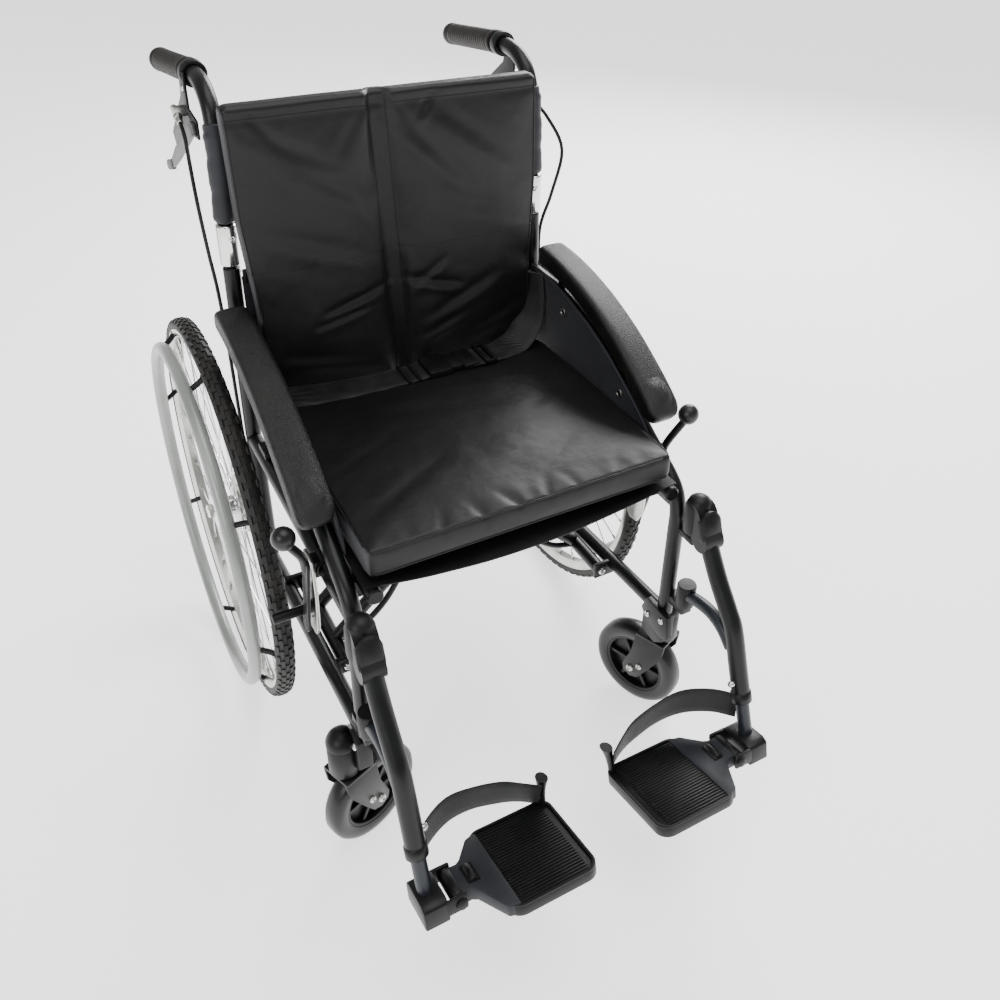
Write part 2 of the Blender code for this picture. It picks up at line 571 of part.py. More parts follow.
def brake_cable(side, s, bow):
    curve = bpy.data.curves.new(f"{side}_brake_cable", "CURVE")
    curve.dimensions = "3D"
    curve.bevel_depth = 0.0026
    curve.bevel_resolution = 2
    curve.use_fill_caps = True
    points = smooth(cable_route(s, bow), 4)
    line = curve.splines.new("POLY")
    line.points.add(len(points) - 1)
    for k, p in enumerate(points):
        line.points[k].co = (*p, 1.0)
    curve.materials.append(paint(f"{side}_brake_cable", *LOOKS["plastic"]))
    obj = bpy.data.objects.new(f"{side}_brake_cable", curve)
    bpy.context.collection.objects.link(obj)
    return obj


def release_tab(side, s):
    tab = box(f"{side}_back_release", (s * 0.2110, -0.043, 0.690), (s * 0.2188, -0.037, 0.710), "plastic")
    ride(body(f"{side}_back_release", (s * 0.215, -0.040, 0.700)), tab)


# Soft parts

def soft_parts():
    box("seat_sling", (-0.2000, -0.4560, 0.4820), (0.2000, -0.0840, 0.4878), "fabric")
    box("seat_cushion", (-0.2160, -0.4580, 0.4885), (0.2160, -0.0800, 0.5320), "fabric")
    box("back_pad_lower", (-0.2090, -0.0780, 0.5000), (0.2090, -0.0470, 0.7145), "fabric")
    upper = box("back_pad_upper", (-0.2265, -0.0780, 0.7175), (0.2095, -0.0470, 0.9360), "fabric")
    belt = box("lap_belt", (-0.180, -0.148, 0.5325), (0.180, -0.098, 0.5355), "webbing")
    boolean(belt, [box("buckle", (-0.028, -0.146, 0.5335), (0.112, -0.100, 0.5470), "plastic")])
    return upper


def build():
    clear_scene()
    for side, s in SIDES.items():
        side_frame(side, s)
        arm_pad(side, s)
        side_panel(side, s)
        rear_wheel(side, s)
        drum_and_axle(side, s)
        caster(side, s)
        leg_rest(side, s)
        parking_brake(side, s)
        release_tab(side, s)
        brake_cable(side, s, 0.034 if side == "left" else 0.004)
    brace_bolt()
    # Arm A stands on the left lower rail, arm B on the right one
    arm_a = brace_arm("brace_arm_a", 1.0, (-0.240, -0.165))
    arm_b = brace_arm("brace_arm_b", -1.0, (-0.265, -0.190))
    ride(body("brace_a", (RAIL_X, -0.22, RAIL_LOW_Z)), arm_a)
    ride(body("brace_b", (0, -0.22, (RAIL_LOW_Z + RAIL_TOP_Z) / 2)), arm_b)
    upper_pad = soft_parts()
    for side, s in SIDES.items():
        hinge = body(f"{side}_back", (s * POST_TOP_X, HINGE_Y, HINGE_Z))
        ring, lever = attendant_brake(side, s)
        ride(hinge, back_post(side, s), hinge_sleeve(side, s), push_grip(side, s), ring)
        if side == "left":
            ride(hinge, upper_pad)
        squeeze = body(f"{side}_brake_lever", (s * 0.243, *LEVER_PIVOT), hinge)
        ride(squeeze, lever)
    for obj in bpy.data.objects:
        if obj.parent is None:
            obj.location.y += AXLE_Y
        if obj.type == "MESH":
            obj.data.shade_smooth()
            obj.data.set_sharp_from_angle(angle=math.radians(35))


build()
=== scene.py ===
"""Looks for a folding wheelchair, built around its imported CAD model."""
import math
import random

import bmesh
import bpy
from mathutils import Matrix, Vector, noise
from mathutils.bvhtree import BVHTree


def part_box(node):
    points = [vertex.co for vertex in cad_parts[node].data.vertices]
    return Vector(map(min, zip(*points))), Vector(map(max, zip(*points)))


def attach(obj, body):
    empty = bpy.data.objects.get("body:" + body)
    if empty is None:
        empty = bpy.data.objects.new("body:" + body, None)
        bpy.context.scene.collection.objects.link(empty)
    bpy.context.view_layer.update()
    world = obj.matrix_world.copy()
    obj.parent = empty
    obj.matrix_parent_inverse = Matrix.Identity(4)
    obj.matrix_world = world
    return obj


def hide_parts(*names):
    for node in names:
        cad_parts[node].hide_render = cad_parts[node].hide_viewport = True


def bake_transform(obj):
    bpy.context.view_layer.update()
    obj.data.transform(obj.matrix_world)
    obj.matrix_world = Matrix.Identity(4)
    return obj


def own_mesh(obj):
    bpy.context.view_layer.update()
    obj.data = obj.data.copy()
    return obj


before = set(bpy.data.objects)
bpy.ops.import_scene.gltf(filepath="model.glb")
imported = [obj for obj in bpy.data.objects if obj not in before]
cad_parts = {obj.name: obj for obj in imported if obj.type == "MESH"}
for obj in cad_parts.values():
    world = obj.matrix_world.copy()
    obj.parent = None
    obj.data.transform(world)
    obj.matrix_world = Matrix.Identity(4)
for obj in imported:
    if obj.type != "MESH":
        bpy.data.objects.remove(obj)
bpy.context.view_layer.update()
TYRE_LOW, TYRE_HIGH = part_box("left_tyre")
AXLE_Y = (TYRE_LOW.y + TYRE_HIGH.y) / 2      # lengths below run from the rear axle
SIDES = {"left": 1.0, "right": -1.0}
random.seed(7)


# ---------------------------------------------------------------- camera, light, floor

def place_camera():
    data = bpy.data.cameras.new("camera")
    data.sensor_width = 36.0
    data.lens = 34.81
    data.shift_x = -0.0286
    data.shift_y = -0.1001
    camera = bpy.data.objects.new("camera", data)
    bpy.context.collection.objects.link(camera)
    right = Vector((0.87362, -0.48599, 0.02472))
    up = Vector((0.24040, 0.47520, 0.84640))
    back = Vector((-0.42309, -0.73349, 0.53197))
    turn = Matrix((right, up, back)).transposed()
    camera.matrix_world = Matrix.Translation((-0.47384, -1.26200 + AXLE_Y, 1.26220)) @ turn.to_4x4()
    bpy.context.scene.camera = camera


def area_light(name, place, target, size, power, color=(1, 1, 1)):
    data = bpy.data.lights.new(name, "AREA")
    data.shape = "RECTANGLE"
    data.size, data.size_y = size
    data.energy = power
    data.color = color
    light = bpy.data.objects.new(name, data)
    bpy.context.collection.objects.link(light)
    light.location = place
    light.rotation_euler = (Vector(target) - Vector(place)).to_track_quat("-Z", "Y").to_euler()


def studio():
    world = bpy.data.worlds.new("studio")
    bpy.context.scene.world = world
    world.use_nodes = True
    background = world.node_tree.nodes["Background"]
    background.inputs["Color"].default_value = (1.0, 1.0, 1.0, 1.0)
    background.inputs["Strength"].default_value = 0.50
    area_light("window", (2.3, 2.0, 2.2), (0, 0, 0.5), (2.0, 1.6), 150)
    area_light("front", (-2.6, -1.6, 2.2), (0, 0, 0.4), (1.6, 1.6), 42)
    area_light("top", (0.3, -0.4, 3.4), (0, 0, 0.4), (2.4, 2.4), 60)
    mesh = bpy.data.meshes.new("floor")
    mesh.from_pydata([(-30, -30, -0.0006), (30, -30, -0.0006), (30, 30, -0.0006), (-30, 30, -0.0006)], [],
                     [(0, 1, 2, 3)])
    floor = bpy.data.objects.new("floor", mesh)
    bpy.context.collection.objects.link(floor)
    mat = bpy.data.materials.new("pale_floor")
    mat.use_nodes = True
    shader = mat.node_tree.nodes["Principled BSDF"]
    shader.inputs["Base Color"].default_value = (0.92, 0.92, 0.92, 1)
    shader.inputs["Roughness"].default_value = 0.9
    shader.inputs["Emission Color"].default_value = (1.0, 1.0, 1.0, 1.0)
    shader.inputs["Emission Strength"].default_value = 1.35
    mesh.materials.append(mat)


# ---------------------------------------------------------------- materials

def link(tree, a, b):
    tree.links.new(a, b)


def look(name, dark, light, rough, metallic=0.0, spots=18.0, bumps=(), coat=0.0, sheen=0.0, specular=0.5):
    """A procedural finish: colour mottled between two tones, uneven gloss, and layers of bump.
    Each bump is (kind, scale, strength, distance)."""
    mat = bpy.data.materials.new(name)
    mat.use_nodes = True
    tree = mat.node_tree
    shader = tree.nodes["Principled BSDF"]
    shader.inputs["Metallic"].default_value = metallic
    shader.inputs["Coat Weight"].default_value = coat
    shader.inputs["Coat Roughness"].default_value = 0.25
    shader.inputs["Sheen Weight"].default_value = sheen
    shader.inputs["Sheen Roughness"].default_value = 0.4
    shader.inputs["Specular IOR Level"].default_value = specular
    place = tree.nodes.new("ShaderNodeTexCoord")
    mottle = tree.nodes.new("ShaderNodeTexNoise")
    mottle.inputs["Scale"].default_value = spots
    mottle.inputs["Detail"].default_value = 5.0
    link(tree, place.outputs["Object"], mottle.inputs["Vector"])
    tones = tree.nodes.new("ShaderNodeValToRGB")
    tones.color_ramp.elements[0].position = 0.35
    tones.color_ramp.elements[1].position = 0.68
    tones.color_ramp.elements[0].color = (*dark, 1)
    tones.color_ramp.elements[1].color = (*light, 1)
    link(tree, mottle.outputs["Fac"], tones.inputs["Fac"])
    link(tree, tones.outputs["Color"], shader.inputs["Base Color"])
    gloss = tree.nodes.new("ShaderNodeMapRange")
    gloss.inputs["To Min"].default_value = rough * 0.82
    gloss.inputs["To Max"].default_value = min(1.0, rough * 1.18)
    link(tree, mottle.outputs["Fac"], gloss.inputs["Value"])
    link(tree, gloss.outputs["Result"], shader.inputs["Roughness"])
    below = None
    for kind, scale, strength, distance in bumps:
        bump = tree.nodes.new("ShaderNodeBump")
        bump.inputs["Strength"].default_value = strength
        bump.inputs["Distance"].default_value = distance
        if kind == "pebble":
            texture = tree.nodes.new("ShaderNodeTexVoronoi")
            texture.inputs["Scale"].default_value = scale
            height = texture.outputs["Distance"]
            bump.invert = True
        elif kind.startswith("wave"):
            texture = tree.nodes.new("ShaderNodeTexWave")
            texture.bands_direction = kind[-1]
            texture.inputs["Scale"].default_value = scale
            height = texture.outputs["Fac"]
        else:
            texture = tree.nodes.new("ShaderNodeTexNoise")
            texture.inputs["Scale"].default_value = scale
            texture.inputs["Detail"].default_value = 3.0
            height = texture.outputs["Fac"]
        link(tree, place.outputs["Object"], texture.inputs["Vector"])
        link(tree, height, bump.inputs["Height"])
        if below is not None:
            link(tree, below, bump.inputs["Normal"])
        below = bump.outputs["Normal"]
    if below is not None:
        link(tree, below, shader.inputs["Normal"])
    return mat


LOOKS = {
    "frame": look("frame_paint", (0.0026, 0.0028, 0.0033), (0.0050, 0.0053, 0.0062), 0.34, 0.0, 30,
                  [("noise", 900, 0.12, 0.0004)], specular=0.30),
    "bluish": look("bluish_paint", (0.0110, 0.0140, 0.0190), (0.0170, 0.0210, 0.0280), 0.38, 0.0, 30,
                   [("noise", 700, 0.12, 0.0004)], specular=0.40),
    "chrome": look("chrome", (0.74, 0.74, 0.72), (0.86, 0.86, 0.84), 0.10, 1.0, 12),
    "alu": look("satin_aluminium", (0.50, 0.50, 0.47), (0.66, 0.66, 0.62), 0.30, 1.0, 25,
                [("noise", 500, 0.1, 0.0003)]),
    "lever": look("lever_grey", (0.055, 0.056, 0.056), (0.090, 0.092, 0.090), 0.45, 0.3, 60,
                  [("noise", 650, 0.4, 0.0005)], specular=0.35),
    "steel": look("bright_steel", (0.62, 0.62, 0.62), (0.80, 0.80, 0.80), 0.20, 1.0, 40),
    "handrim": look("handrim_grey", (0.27, 0.285, 0.27), (0.35, 0.365, 0.35), 0.36, 0.25, 14,
                    [("noise", 420, 0.08, 0.0003)], coat=0.12),
    "tyre": look("tyre_rubber", (0.0060, 0.0060, 0.0058), (0.020, 0.018, 0.016), 0.60, 0.0, 26,
                 [("noise", 300, 0.3, 0.0006)], specular=0.40),
    "roller": look("caster_rubber", (0.0045, 0.0045, 0.0046), (0.0085, 0.0085, 0.0086), 0.34, 0.0, 20,
                   [("noise", 260, 0.15, 0.0004)], specular=0.40),
    "grip": look("grip_rubber", (0.010, 0.0085, 0.0078), (0.022, 0.018, 0.016), 0.50, 0.0, 30,
                 [("noise", 500, 0.3, 0.0005)], specular=0.40),
    "plastic": look("black_plastic", (0.0030, 0.0031, 0.0034), (0.0065, 0.0066, 0.0070), 0.42, 0.0, 22,
                    [("noise", 600, 0.25, 0.0004)], specular=0.28),
    "gusset": look("grey_plastic", (0.012, 0.013, 0.017), (0.020, 0.022, 0.028), 0.50, 0.0, 22,
                   [("noise", 600, 0.25, 0.0004)], specular=0.36),
    "vinyl": look("arm_vinyl", (0.0040, 0.0038, 0.0036), (0.0085, 0.0080, 0.0074), 0.34, 0.0, 16,
                  [("pebble", 820, 0.60, 0.0009)], specular=0.36),
    "nylon": look("coated_nylon", (0.0026, 0.0026, 0.0032), (0.0048, 0.0048, 0.0058), 0.45, 0.0, 7,
                  [("noise", 11, 0.30, 0.012), ("noise", 38, 0.12, 0.004), ("waveX", 420, 0.06, 0.0004),
                   ("waveZ", 420, 0.06, 0.0004)], sheen=0.03, specular=0.32),
    # a lighter, bluish copy of the coated nylon: its colour is painted sheen for side faces, hems and sleeves
    "hem_painted_sheen": look("nylon_hem_painted_sheen", (0.0085, 0.0088, 0.0125), (0.0150, 0.0155, 0.0210), 0.50, 0.0, 9,
                [("waveZ", 380, 0.2, 0.0005), ("waveX", 380, 0.2, 0.0005)], sheen=0.15, specular=0.36),
    "panel": look("panel_fabric", (0.0060, 0.0065, 0.0100), (0.0120, 0.0128, 0.0180), 0.72, 0.0, 15,
                  [("waveZ", 300, 0.35, 0.0006), ("waveY", 300, 0.35, 0.0006)], sheen=0.12, specular=0.30),
    "webbing": look("black_webbing", (0.0050, 0.0050, 0.0054), (0.0120, 0.0120, 0.0128), 0.52, 0.0, 40,
                    [("waveZ", 210, 0.5, 0.0008), ("waveX", 420, 0.25, 0.0005)], sheen=0.10, specular=0.36),
}


# ---------------------------------------------------------------- mesh kit

def curve(points, steps=5):
    """Catmull-Rom curve through the points."""
    pts = [Vector(p) for p in points]
    if len(pts) < 3 or steps < 2:
        return pts
    pts = [2 * pts[0] - pts[1]] + pts + [2 * pts[-1] - pts[-2]]
    out = []
    for a, b, c, d in zip(pts, pts[1:], pts[2:], pts[3:]):
        for k in range(steps):
            t = k / steps
            out.append(0.5 * (2 * b + (c - a) * t + (2 * a - 5 * b + 4 * c - d) * t * t
                              + (3 * b - a - 3 * c + d) * t ** 3))
    out.append(pts[-2])
    return out


def frames(pts, closed=False, start=None):
    """A point, and two directions across the path, for each point of it."""
    out = []
    across = Vector(start) if start else None
    n = len(pts)
    for i, p in enumerate(pts):
        if closed:
            ahead = (pts[(i + 1) % n] - pts[i - 1]).normalized()
        else:
            ahead = (pts[min(i + 1, n - 1)] - pts[max(i - 1, 0)]).normalized()
        if across is None:
            across = ahead.orthogonal().normalized()
        across = (across - across.dot(ahead) * ahead).normalized()
        out.append((p, across, ahead.cross(across), ahead))
    return out


class Kit:
    """Gathers closed shells, in lengths from the rear axle, and makes one mesh of them."""

    def __init__(self):
        self.verts = []
        self.faces = []

    def add(self, verts, faces):
        base = len(self.verts)
        self.verts += [Vector(v) for v in verts]
        self.faces += [tuple(base + i for i in f) for f in faces]
        return self

    def rings(self, rings, closed=False):
        """Joins rings of equal length; open ends are capped."""
        n = len(rings[0])
        verts = [v for ring in rings for v in ring]
        count = len(rings)
        faces = []
        for i in range(count if closed else count - 1):
            a, b = i * n, (i + 1) % count * n
            faces += [(a + k, a + (k + 1) % n, b + (k + 1) % n, b + k) for k in range(n)]
        if not closed:
            faces.append(tuple(range(n))[::-1])
            faces.append(tuple((count - 1) * n + k for k in range(n)))
        return self.add(verts, faces)

    def tube(self, points, radius, sides=18, steps=5, closed=False, scale=(1.0, 1.0), start=None):
        pts = curve(points, steps) if not closed else [Vector(p) for p in points]
        rows = frames(pts, closed, start)
        n = len(rows)
        rings = []

        def ring(row, r, shift=0.0):
            p, across, other, ahead = row
            return [p + shift * ahead + r * (math.cos(a) * scale[0] * across + math.sin(a) * scale[1] * other)
                    for a in (2 * math.pi * k / sides for k in range(sides))]

        for i, row in enumerate(rows):
            t = i / max(1, n - 1)
            r = radius(t) if callable(radius) else radius
            edge = 0.16 * r
            if i == 0 and not closed:
                rings.append(ring(row, r - edge))
                rings.append(ring(row, r, edge))
            elif i == n - 1 and not closed:
                rings.append(ring(row, r, -edge))
                rings.append(ring(row, r - edge))
            else:
                rings.append(ring(row, r))
        return self.rings(rings, closed)

    def turned(self, centre, axis, profile, count=64, closed=True):
        """(along, radius) points turned about an axis. An open profile starts and ends on the axis."""
        axis = Vector(axis).normalized()
        across = axis.orthogonal().normalized()
        other = axis.cross(across)
        centre = Vector(centre)
        if closed:
            rings = []
            for i in range(count):
                turn = 2 * math.pi * i / count
                out = math.cos(turn) * across + math.sin(turn) * other
                rings.append([centre + a * axis + r * out for a, r in profile])
            return self.rings(rings, True)
        rings = []
        for a, r in profile:
            r = max(r, 0.00005)
            rings.append([centre + a * axis + r * (math.cos(t) * across + math.sin(t) * other)
                          for t in (2 * math.pi * k / count for k in range(count))])
        return self.rings(rings)

    def box(self, low, high):
        v = [(x, y, z) for x in sorted((low[0], high[0])) for y in sorted((low[1], high[1]))
             for z in sorted((low[2], high[2]))]
        return self.add(v, [(0, 1, 3, 2), (4, 6, 7, 5), (0, 4, 5, 1), (2, 3, 7, 6), (0, 2, 6, 4), (1, 5, 7, 3)])

    def slab(self, x_low, x_high, outline):
        n = len(outline)
        v = [(x, y, z) for x in (x_low, x_high) for y, z in outline]
        f = [tuple(range(n))[::-1], tuple(range(n, 2 * n))]
        f += [(k, (k + 1) % n, n + (k + 1) % n, n + k) for k in range(n)]
        return self.add(v, f)

    def block(self, centre, axes, half):
        """A box about centre, along three directions."""
        c = Vector(centre)
        a, b, d = (Vector(axis) * h for axis, h in zip(axes, half))
        v = [c + i * a + j * b + k * d for i in (-1, 1) for j in (-1, 1) for k in (-1, 1)]
        return self.add(v, [(0, 1, 3, 2), (4, 6, 7, 5), (0, 4, 5, 1), (2, 3, 7, 6), (0, 2, 6, 4), (1, 5, 7, 3)])

    def bolt(self, centre, axis, radius=0.0055, height=0.004, socket=True):
        """A button-head socket bolt standing on centre."""
        r, h = radius, height
        profile = [(-0.001, 0.0), (-0.001, r), (h * 0.35, r), (h * 0.8, r * 0.8), (h, r * 0.55)]
        if socket:
            profile += [(h, r * 0.42), (h * 0.35, r * 0.38), (h * 0.35, 0.0)]
        else:
            profile += [(h, 0.0)]
        return self.turned(centre, axis, profile, 20, closed=False)

    def make(self, name, finish, body=None, slot=None, replaces=(), bevel=0.0, angle=40, subdivide=0):
        mesh = bpy.data.meshes.new(name)
        mesh.from_pydata([(v[0], v[1] + AXLE_Y, v[2]) for v in self.verts], [], self.faces)
        shape = bmesh.new()
        shape.from_mesh(mesh)
        bmesh.ops.recalc_face_normals(shape, faces=shape.faces)
        shape.to_mesh(mesh)
        shape.free()
        mesh.materials.append(LOOKS[finish])
        obj = bpy.data.objects.new(name, mesh)
        bpy.context.collection.objects.link(obj)
        if bevel:
            step = obj.modifiers.new("edges", "BEVEL")
            step.width = bevel
            step.segments = 2
            step.limit_method = "ANGLE"
            step.angle_limit = math.radians(38)
        if subdivide:
            step = obj.modifiers.new("round", "SUBSURF")
            step.levels = step.render_levels = subdivide
        if bevel or subdivide:
            bake(obj)
        obj.data.shade_smooth()
        obj.data.set_sharp_from_angle(angle=math.radians(angle))
        return dress(obj, body, replaces)


def bake(obj):
    graph = bpy.context.evaluated_depsgraph_get()
    mesh = bpy.data.meshes.new_from_object(obj.evaluated_get(graph))
    obj.modifiers.clear()
    obj.data = mesh
    return obj


def dress(obj, body, replaces=()):
    if replaces:
        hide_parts(*replaces)
    if body:
        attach(obj, body)
    return obj


# ---------------------------------------------------------------- side frames

def side_frame(side, s):
    x = s * 0.235
    hoop = [(-0.455, 0.238), (-0.455, 0.30), (-0.455, 0.38), (-0.4545, 0.425), (-0.446, 0.453), (-0.425, 0.472),
            (-0.39, 0.491), (-0.356, 0.511), (-0.30, 0.549), (-0.235, 0.586), (-0.16, 0.609), (-0.09, 0.617),
            (-0.033, 0.618)]
    body = f"{side}_frame"
    tubes = Kit()
    tubes.tube([(x, y, z) for y, z in hoop], 0.0112, 20, 4)
    tubes.tube([(x, -0.035, 0.2075), (x, -0.454, 0.2355)], 0.0111, 20)
    tubes.tube([(x, -0.034, 0.440), (x, -0.4535, 0.440)], 0.0111, 20)
    tubes.tube([(x, -0.033, 0.203), (x, -0.033, 0.45), (s * 0.231, -0.033, 0.7145)], 0.0113, 20, 1)
    tubes.tube([(s * 0.2255, 0, 0.303), (s * 0.2470, 0, 0.303)], 0.017, 24)
    tubes.make(f"{side}_frame_tubes", "frame", body, "frame_paint", [f"{side}_side_frame"])
    plates = Kit()
    plates.slab(s * 0.2285, s * 0.2415, [(-0.042, 0.262), (0.010, 0.270), (0.024, 0.290), (0.024, 0.318),
                                         (0.010, 0.338), (-0.042, 0.346)])
    plates.box((s * 0.2195, -0.034, 0.690), (s * 0.2295, -0.004, 0.7140))
    plates.box((s * 0.2195, -0.0166, 0.705), (s * 0.2295, -0.0040, 0.7202))
    plates.slab(s * 0.2300, s * 0.2500, [(-0.4625, 0.180), (-0.4625, 0.2300), (-0.440, 0.236), (-0.412, 0.214),
                                         (-0.412, 0.168), (-0.445, 0.165)])
    plates.slab(s * 0.2185, s * 0.2285, [(-0.487, 0.212), (-0.480, 0.250), (-0.430, 0.250), (-0.420, 0.225),
                                         (-0.440, 0.205), (-0.475, 0.205)])
    plates.slab(s * 0.2310, s * 0.2490, [(-0.4965, 0.396), (-0.4965, 0.4055), (-0.450, 0.4055), (-0.450, 0.396)])
    plates.slab(s * 0.2310, s * 0.2490, [(-0.4965, 0.2655), (-0.4965, 0.2795), (-0.450, 0.2795), (-0.450, 0.2655)])
    for y, z in ((-0.3175, 0.219), (-0.1225, 0.219)):
        outline = [(y - 0.0035, z - 0.013), (y + 0.0035, z - 0.013), (y + 0.0035, z + 0.014), (y - 0.0035, z + 0.014)]
        plates.slab(s * 0.2000, s * 0.2400, outline)
    for y in (-0.4025, -0.0975):
        outline = [(y - 0.020, 0.437), (y + 0.020, 0.437), (y + 0.017, 0.4600), (y - 0.017, 0.4600)]
        plates.slab(s * 0.2005, s * 0.2400, outline)
    plates.make(f"{side}_frame_plates", "plastic", body, "plastic", bevel=0.0014)
    stem = Kit()
    housing = [(0.1545, 0.0), (0.1545, 0.0195), (0.158, 0.0210), (0.205, 0.0210), (0.207, 0.0195), (0.2075, 0.0215),
               (0.212, 0.0215), (0.219, 0.0185), (0.2255, 0.0115), (0.2285, 0.0)]
    stem.turned((s * 0.260, -0.430, 0), (0, 0, 1), housing, 36, closed=False)
    stem.make(f"{side}_caster_housing", "plastic", body, "plastic")
    pegs = Kit()
    for y, low, high in ((-0.12, 0.612, 0.634), (-0.30, 0.549, 0.577)):
        pegs.tube([(s * 0.239, y, low), (s * 0.239, y, high)], 0.0066, 16)
    pegs.make(f"{side}_arm_pegs", "plastic", body, "plastic")
    bolts = Kit()
    for y in (-0.3215, -0.1185):
        bolts.bolt((s * 0.2110, y, 0.219), (0, -1 if y < -0.2 else 1, 0), 0.0060, 0.004)
    bolts.bolt((s * 0.2180, -0.470, 0.237), (-s, 0, 0), 0.005, 0.003)
    bolts.bolt((s * 0.2180, -0.437, 0.224), (-s, 0, 0), 0.005, 0.003)
    bolts.bolt((s * 0.2502, -0.452, 0.216), (s, 0, 0), 0.0052, 0.003)
    bolts.bolt((s * 0.2190, -0.019, 0.700), (-s, 0, 0), 0.0042, 0.003)
    bolts.tube([(s * 0.240, -0.490, 0.4045), (s * 0.240, -0.490, 0.4172)], 0.0050, 14)
    bolts.make(f"{side}_frame_bolts", "steel", body, "steel")


PAD_TOP = [(-0.065, 0.672), (-0.11, 0.670), (-0.16, 0.662), (-0.22, 0.646), (-0.28, 0.622), (-0.335, 0.592),
           (-0.375, 0.566), (-0.393, 0.548)]


def arm_pad(side, s):
    """A moulded pad: square-shouldered sections along the top line, a round nose and a raised oval at the front."""
    line = curve([(0, y, z) for y, z in [(-0.062, 0.6725)] + PAD_TOP[1:-1] + [(-0.3985, 0.545)]], 16)
    middle, half = s * 0.2475, 0.0246
    kit = Kit()
    rings = []
    n = len(line)
    total = sum((b - a).length for a, b in zip(line, line[1:]))
    gone = 0.0
    corners = 64
    for i, p in enumerate(line):
        if i:
            gone += (p - line[i - 1]).length
        ahead = (line[min(i + 1, n - 1)] - line[max(i - 1, 0)]).normalized()
        up = Vector((0, -ahead.z, ahead.y))
        if up.z < 0:
            up = -up
        rear = min(1.0, gone / 0.009)
        front = min(1.0, (total - gone) / 0.021)
        end = math.sqrt(max(0.0, 1 - (1 - rear) ** 2)) * math.sqrt(max(0.0, 1 - (1 - front) ** 2))
        wide = half * (0.93 + 0.07 * min(1.0, gone / 0.30)) * (0.50 + 0.50 * end)
        thick = 0.0150 * (0.50 + 0.50 * end)
        centre = p - 0.0155 * up
        ring = []
        for k in range(corners):
            a = 2 * math.pi * k / corners
            c, t = math.cos(a), math.sin(a)
            across = math.copysign(abs(c) ** 0.40, c) * wide
            rise = math.copysign(abs(t) ** 0.50, t) * thick
            if t > 0:
                rise += 0.0010 * math.cos(across / wide * math.pi / 2) * end
                reach = ((total - 0.036 - gone) / 0.0225) ** 2 + (across / 0.0155) ** 2
                rise += 0.0042 * math.sqrt(max(0.0, 1 - reach))
            ring.append(Vector((middle + across, centre.y, centre.z)) + rise * up)
        rings.append(ring)
    kit.rings(rings)
    kit.make(f"{side}_arm_pad_top", "vinyl", f"{side}_frame", "arm_vinyl", [f"{side}_arm_pad"], angle=60)


def side_panel(side, s):
    """A stretched cloth guard under the arm pad, with a hem along its edges, coloured lighter as painted sheen, and two
    snap heads.
    """
    rows, cols = 22, 34
    line = [(y, z - 0.034) for y, z in PAD_TOP] + [(-0.405, 0.505)]

    def top(y):
        for (y1, z1), (y0, z0) in zip(line, line[1:]):
            if y0 <= y <= y1:
                return z0 + (z1 - z0) * (y - y0) / (y1 - y0)
        return line[0][1] if y > line[0][0] else line[-1][1]

    kit = Kit()
    for face in (0, 1):
        grid = []
        for i in range(cols + 1):
            y = -0.052 + (-0.404 + 0.052) * i / cols
            for j in range(rows + 1):
                t = j / rows
                z = 0.492 + (top(y) - 0.492) * t
                swell = math.sin(math.pi * t) * math.sin(math.pi * i / cols)
                ripple = 0.0008 * noise.noise((y * 18, z * 24, 3.0 * s))
                x = 0.2222 + 0.0014 * face - 0.0016 * swell + ripple * swell
                grid.append((s * x, y, z))
        if face == 0:
            inner = grid
        else:
            outer = grid
    n = len(inner)
    w = rows + 1
    faces = []
    for i in range(cols):
        for j in range(rows):
            a = i * w + j
            faces += [(a, a + 1, a + w + 1, a + w), (n + a, n + a + w, n + a + w + 1, n + a + 1)]
    edge = [i * w for i in range(cols + 1)] + [cols * w + j for j in range(1, w)]
    edge += [i * w + rows for i in range(cols - 1, -1, -1)] + [j for j in range(rows - 1, 0, -1)]
    for a, b in zip(edge, edge[1:] + edge[:1]):
        faces.append((a, b, n + b, n + a))
    kit.add(inner + outer, faces)
    cloth = kit.make(f"{side}_guard_cloth", "panel", f"{side}_frame", "panel_fabric", [f"{side}_side_panel"])
    hem_painted_sheen = Kit()
    pts = [(s * 0.2223, y, top(y) - 0.004) for y in (-0.056, -0.11, -0.16, -0.22, -0.28, -0.335, -0.375, -0.398)]
    hem_painted_sheen.tube(pts, 0.0016, 8, 4)
    # the hem tube takes the lighter nylon, a painted sheen
    hem_painted_sheen = hem_painted_sheen.make(f"{side}_guard_hem", "hem_painted_sheen", f"{side}_frame", "panel_fabric")
    heads, rims = Kit(), Kit()
    for y, z in ((-0.155, 0.600), (-0.315, 0.545)):
        rims.tube([(s * 0.2200, y + 0.0054 * math.cos(k * 0.3927), z + 0.0054 * math.sin(k * 0.3927)) for k in range(16)],
                  0.0009, 8, 1, closed=True)
        heads.turned((s * 0.2212, y, z), (-s, 0, 0), [(-0.001, 0), (-0.001, 0.0058), (0.0012, 0.0052),
                                                      (0.0024, 0.0030), (0.0027, 0.0)], 20, closed=False)
    heads.make(f"{side}_guard_snaps", "plastic", f"{side}_frame", "plastic")
    rims.make(f"{side}_guard_snap_rims", "alu", f"{side}_frame", "plastic")


# ---------------------------------------------------------------- rear wheels

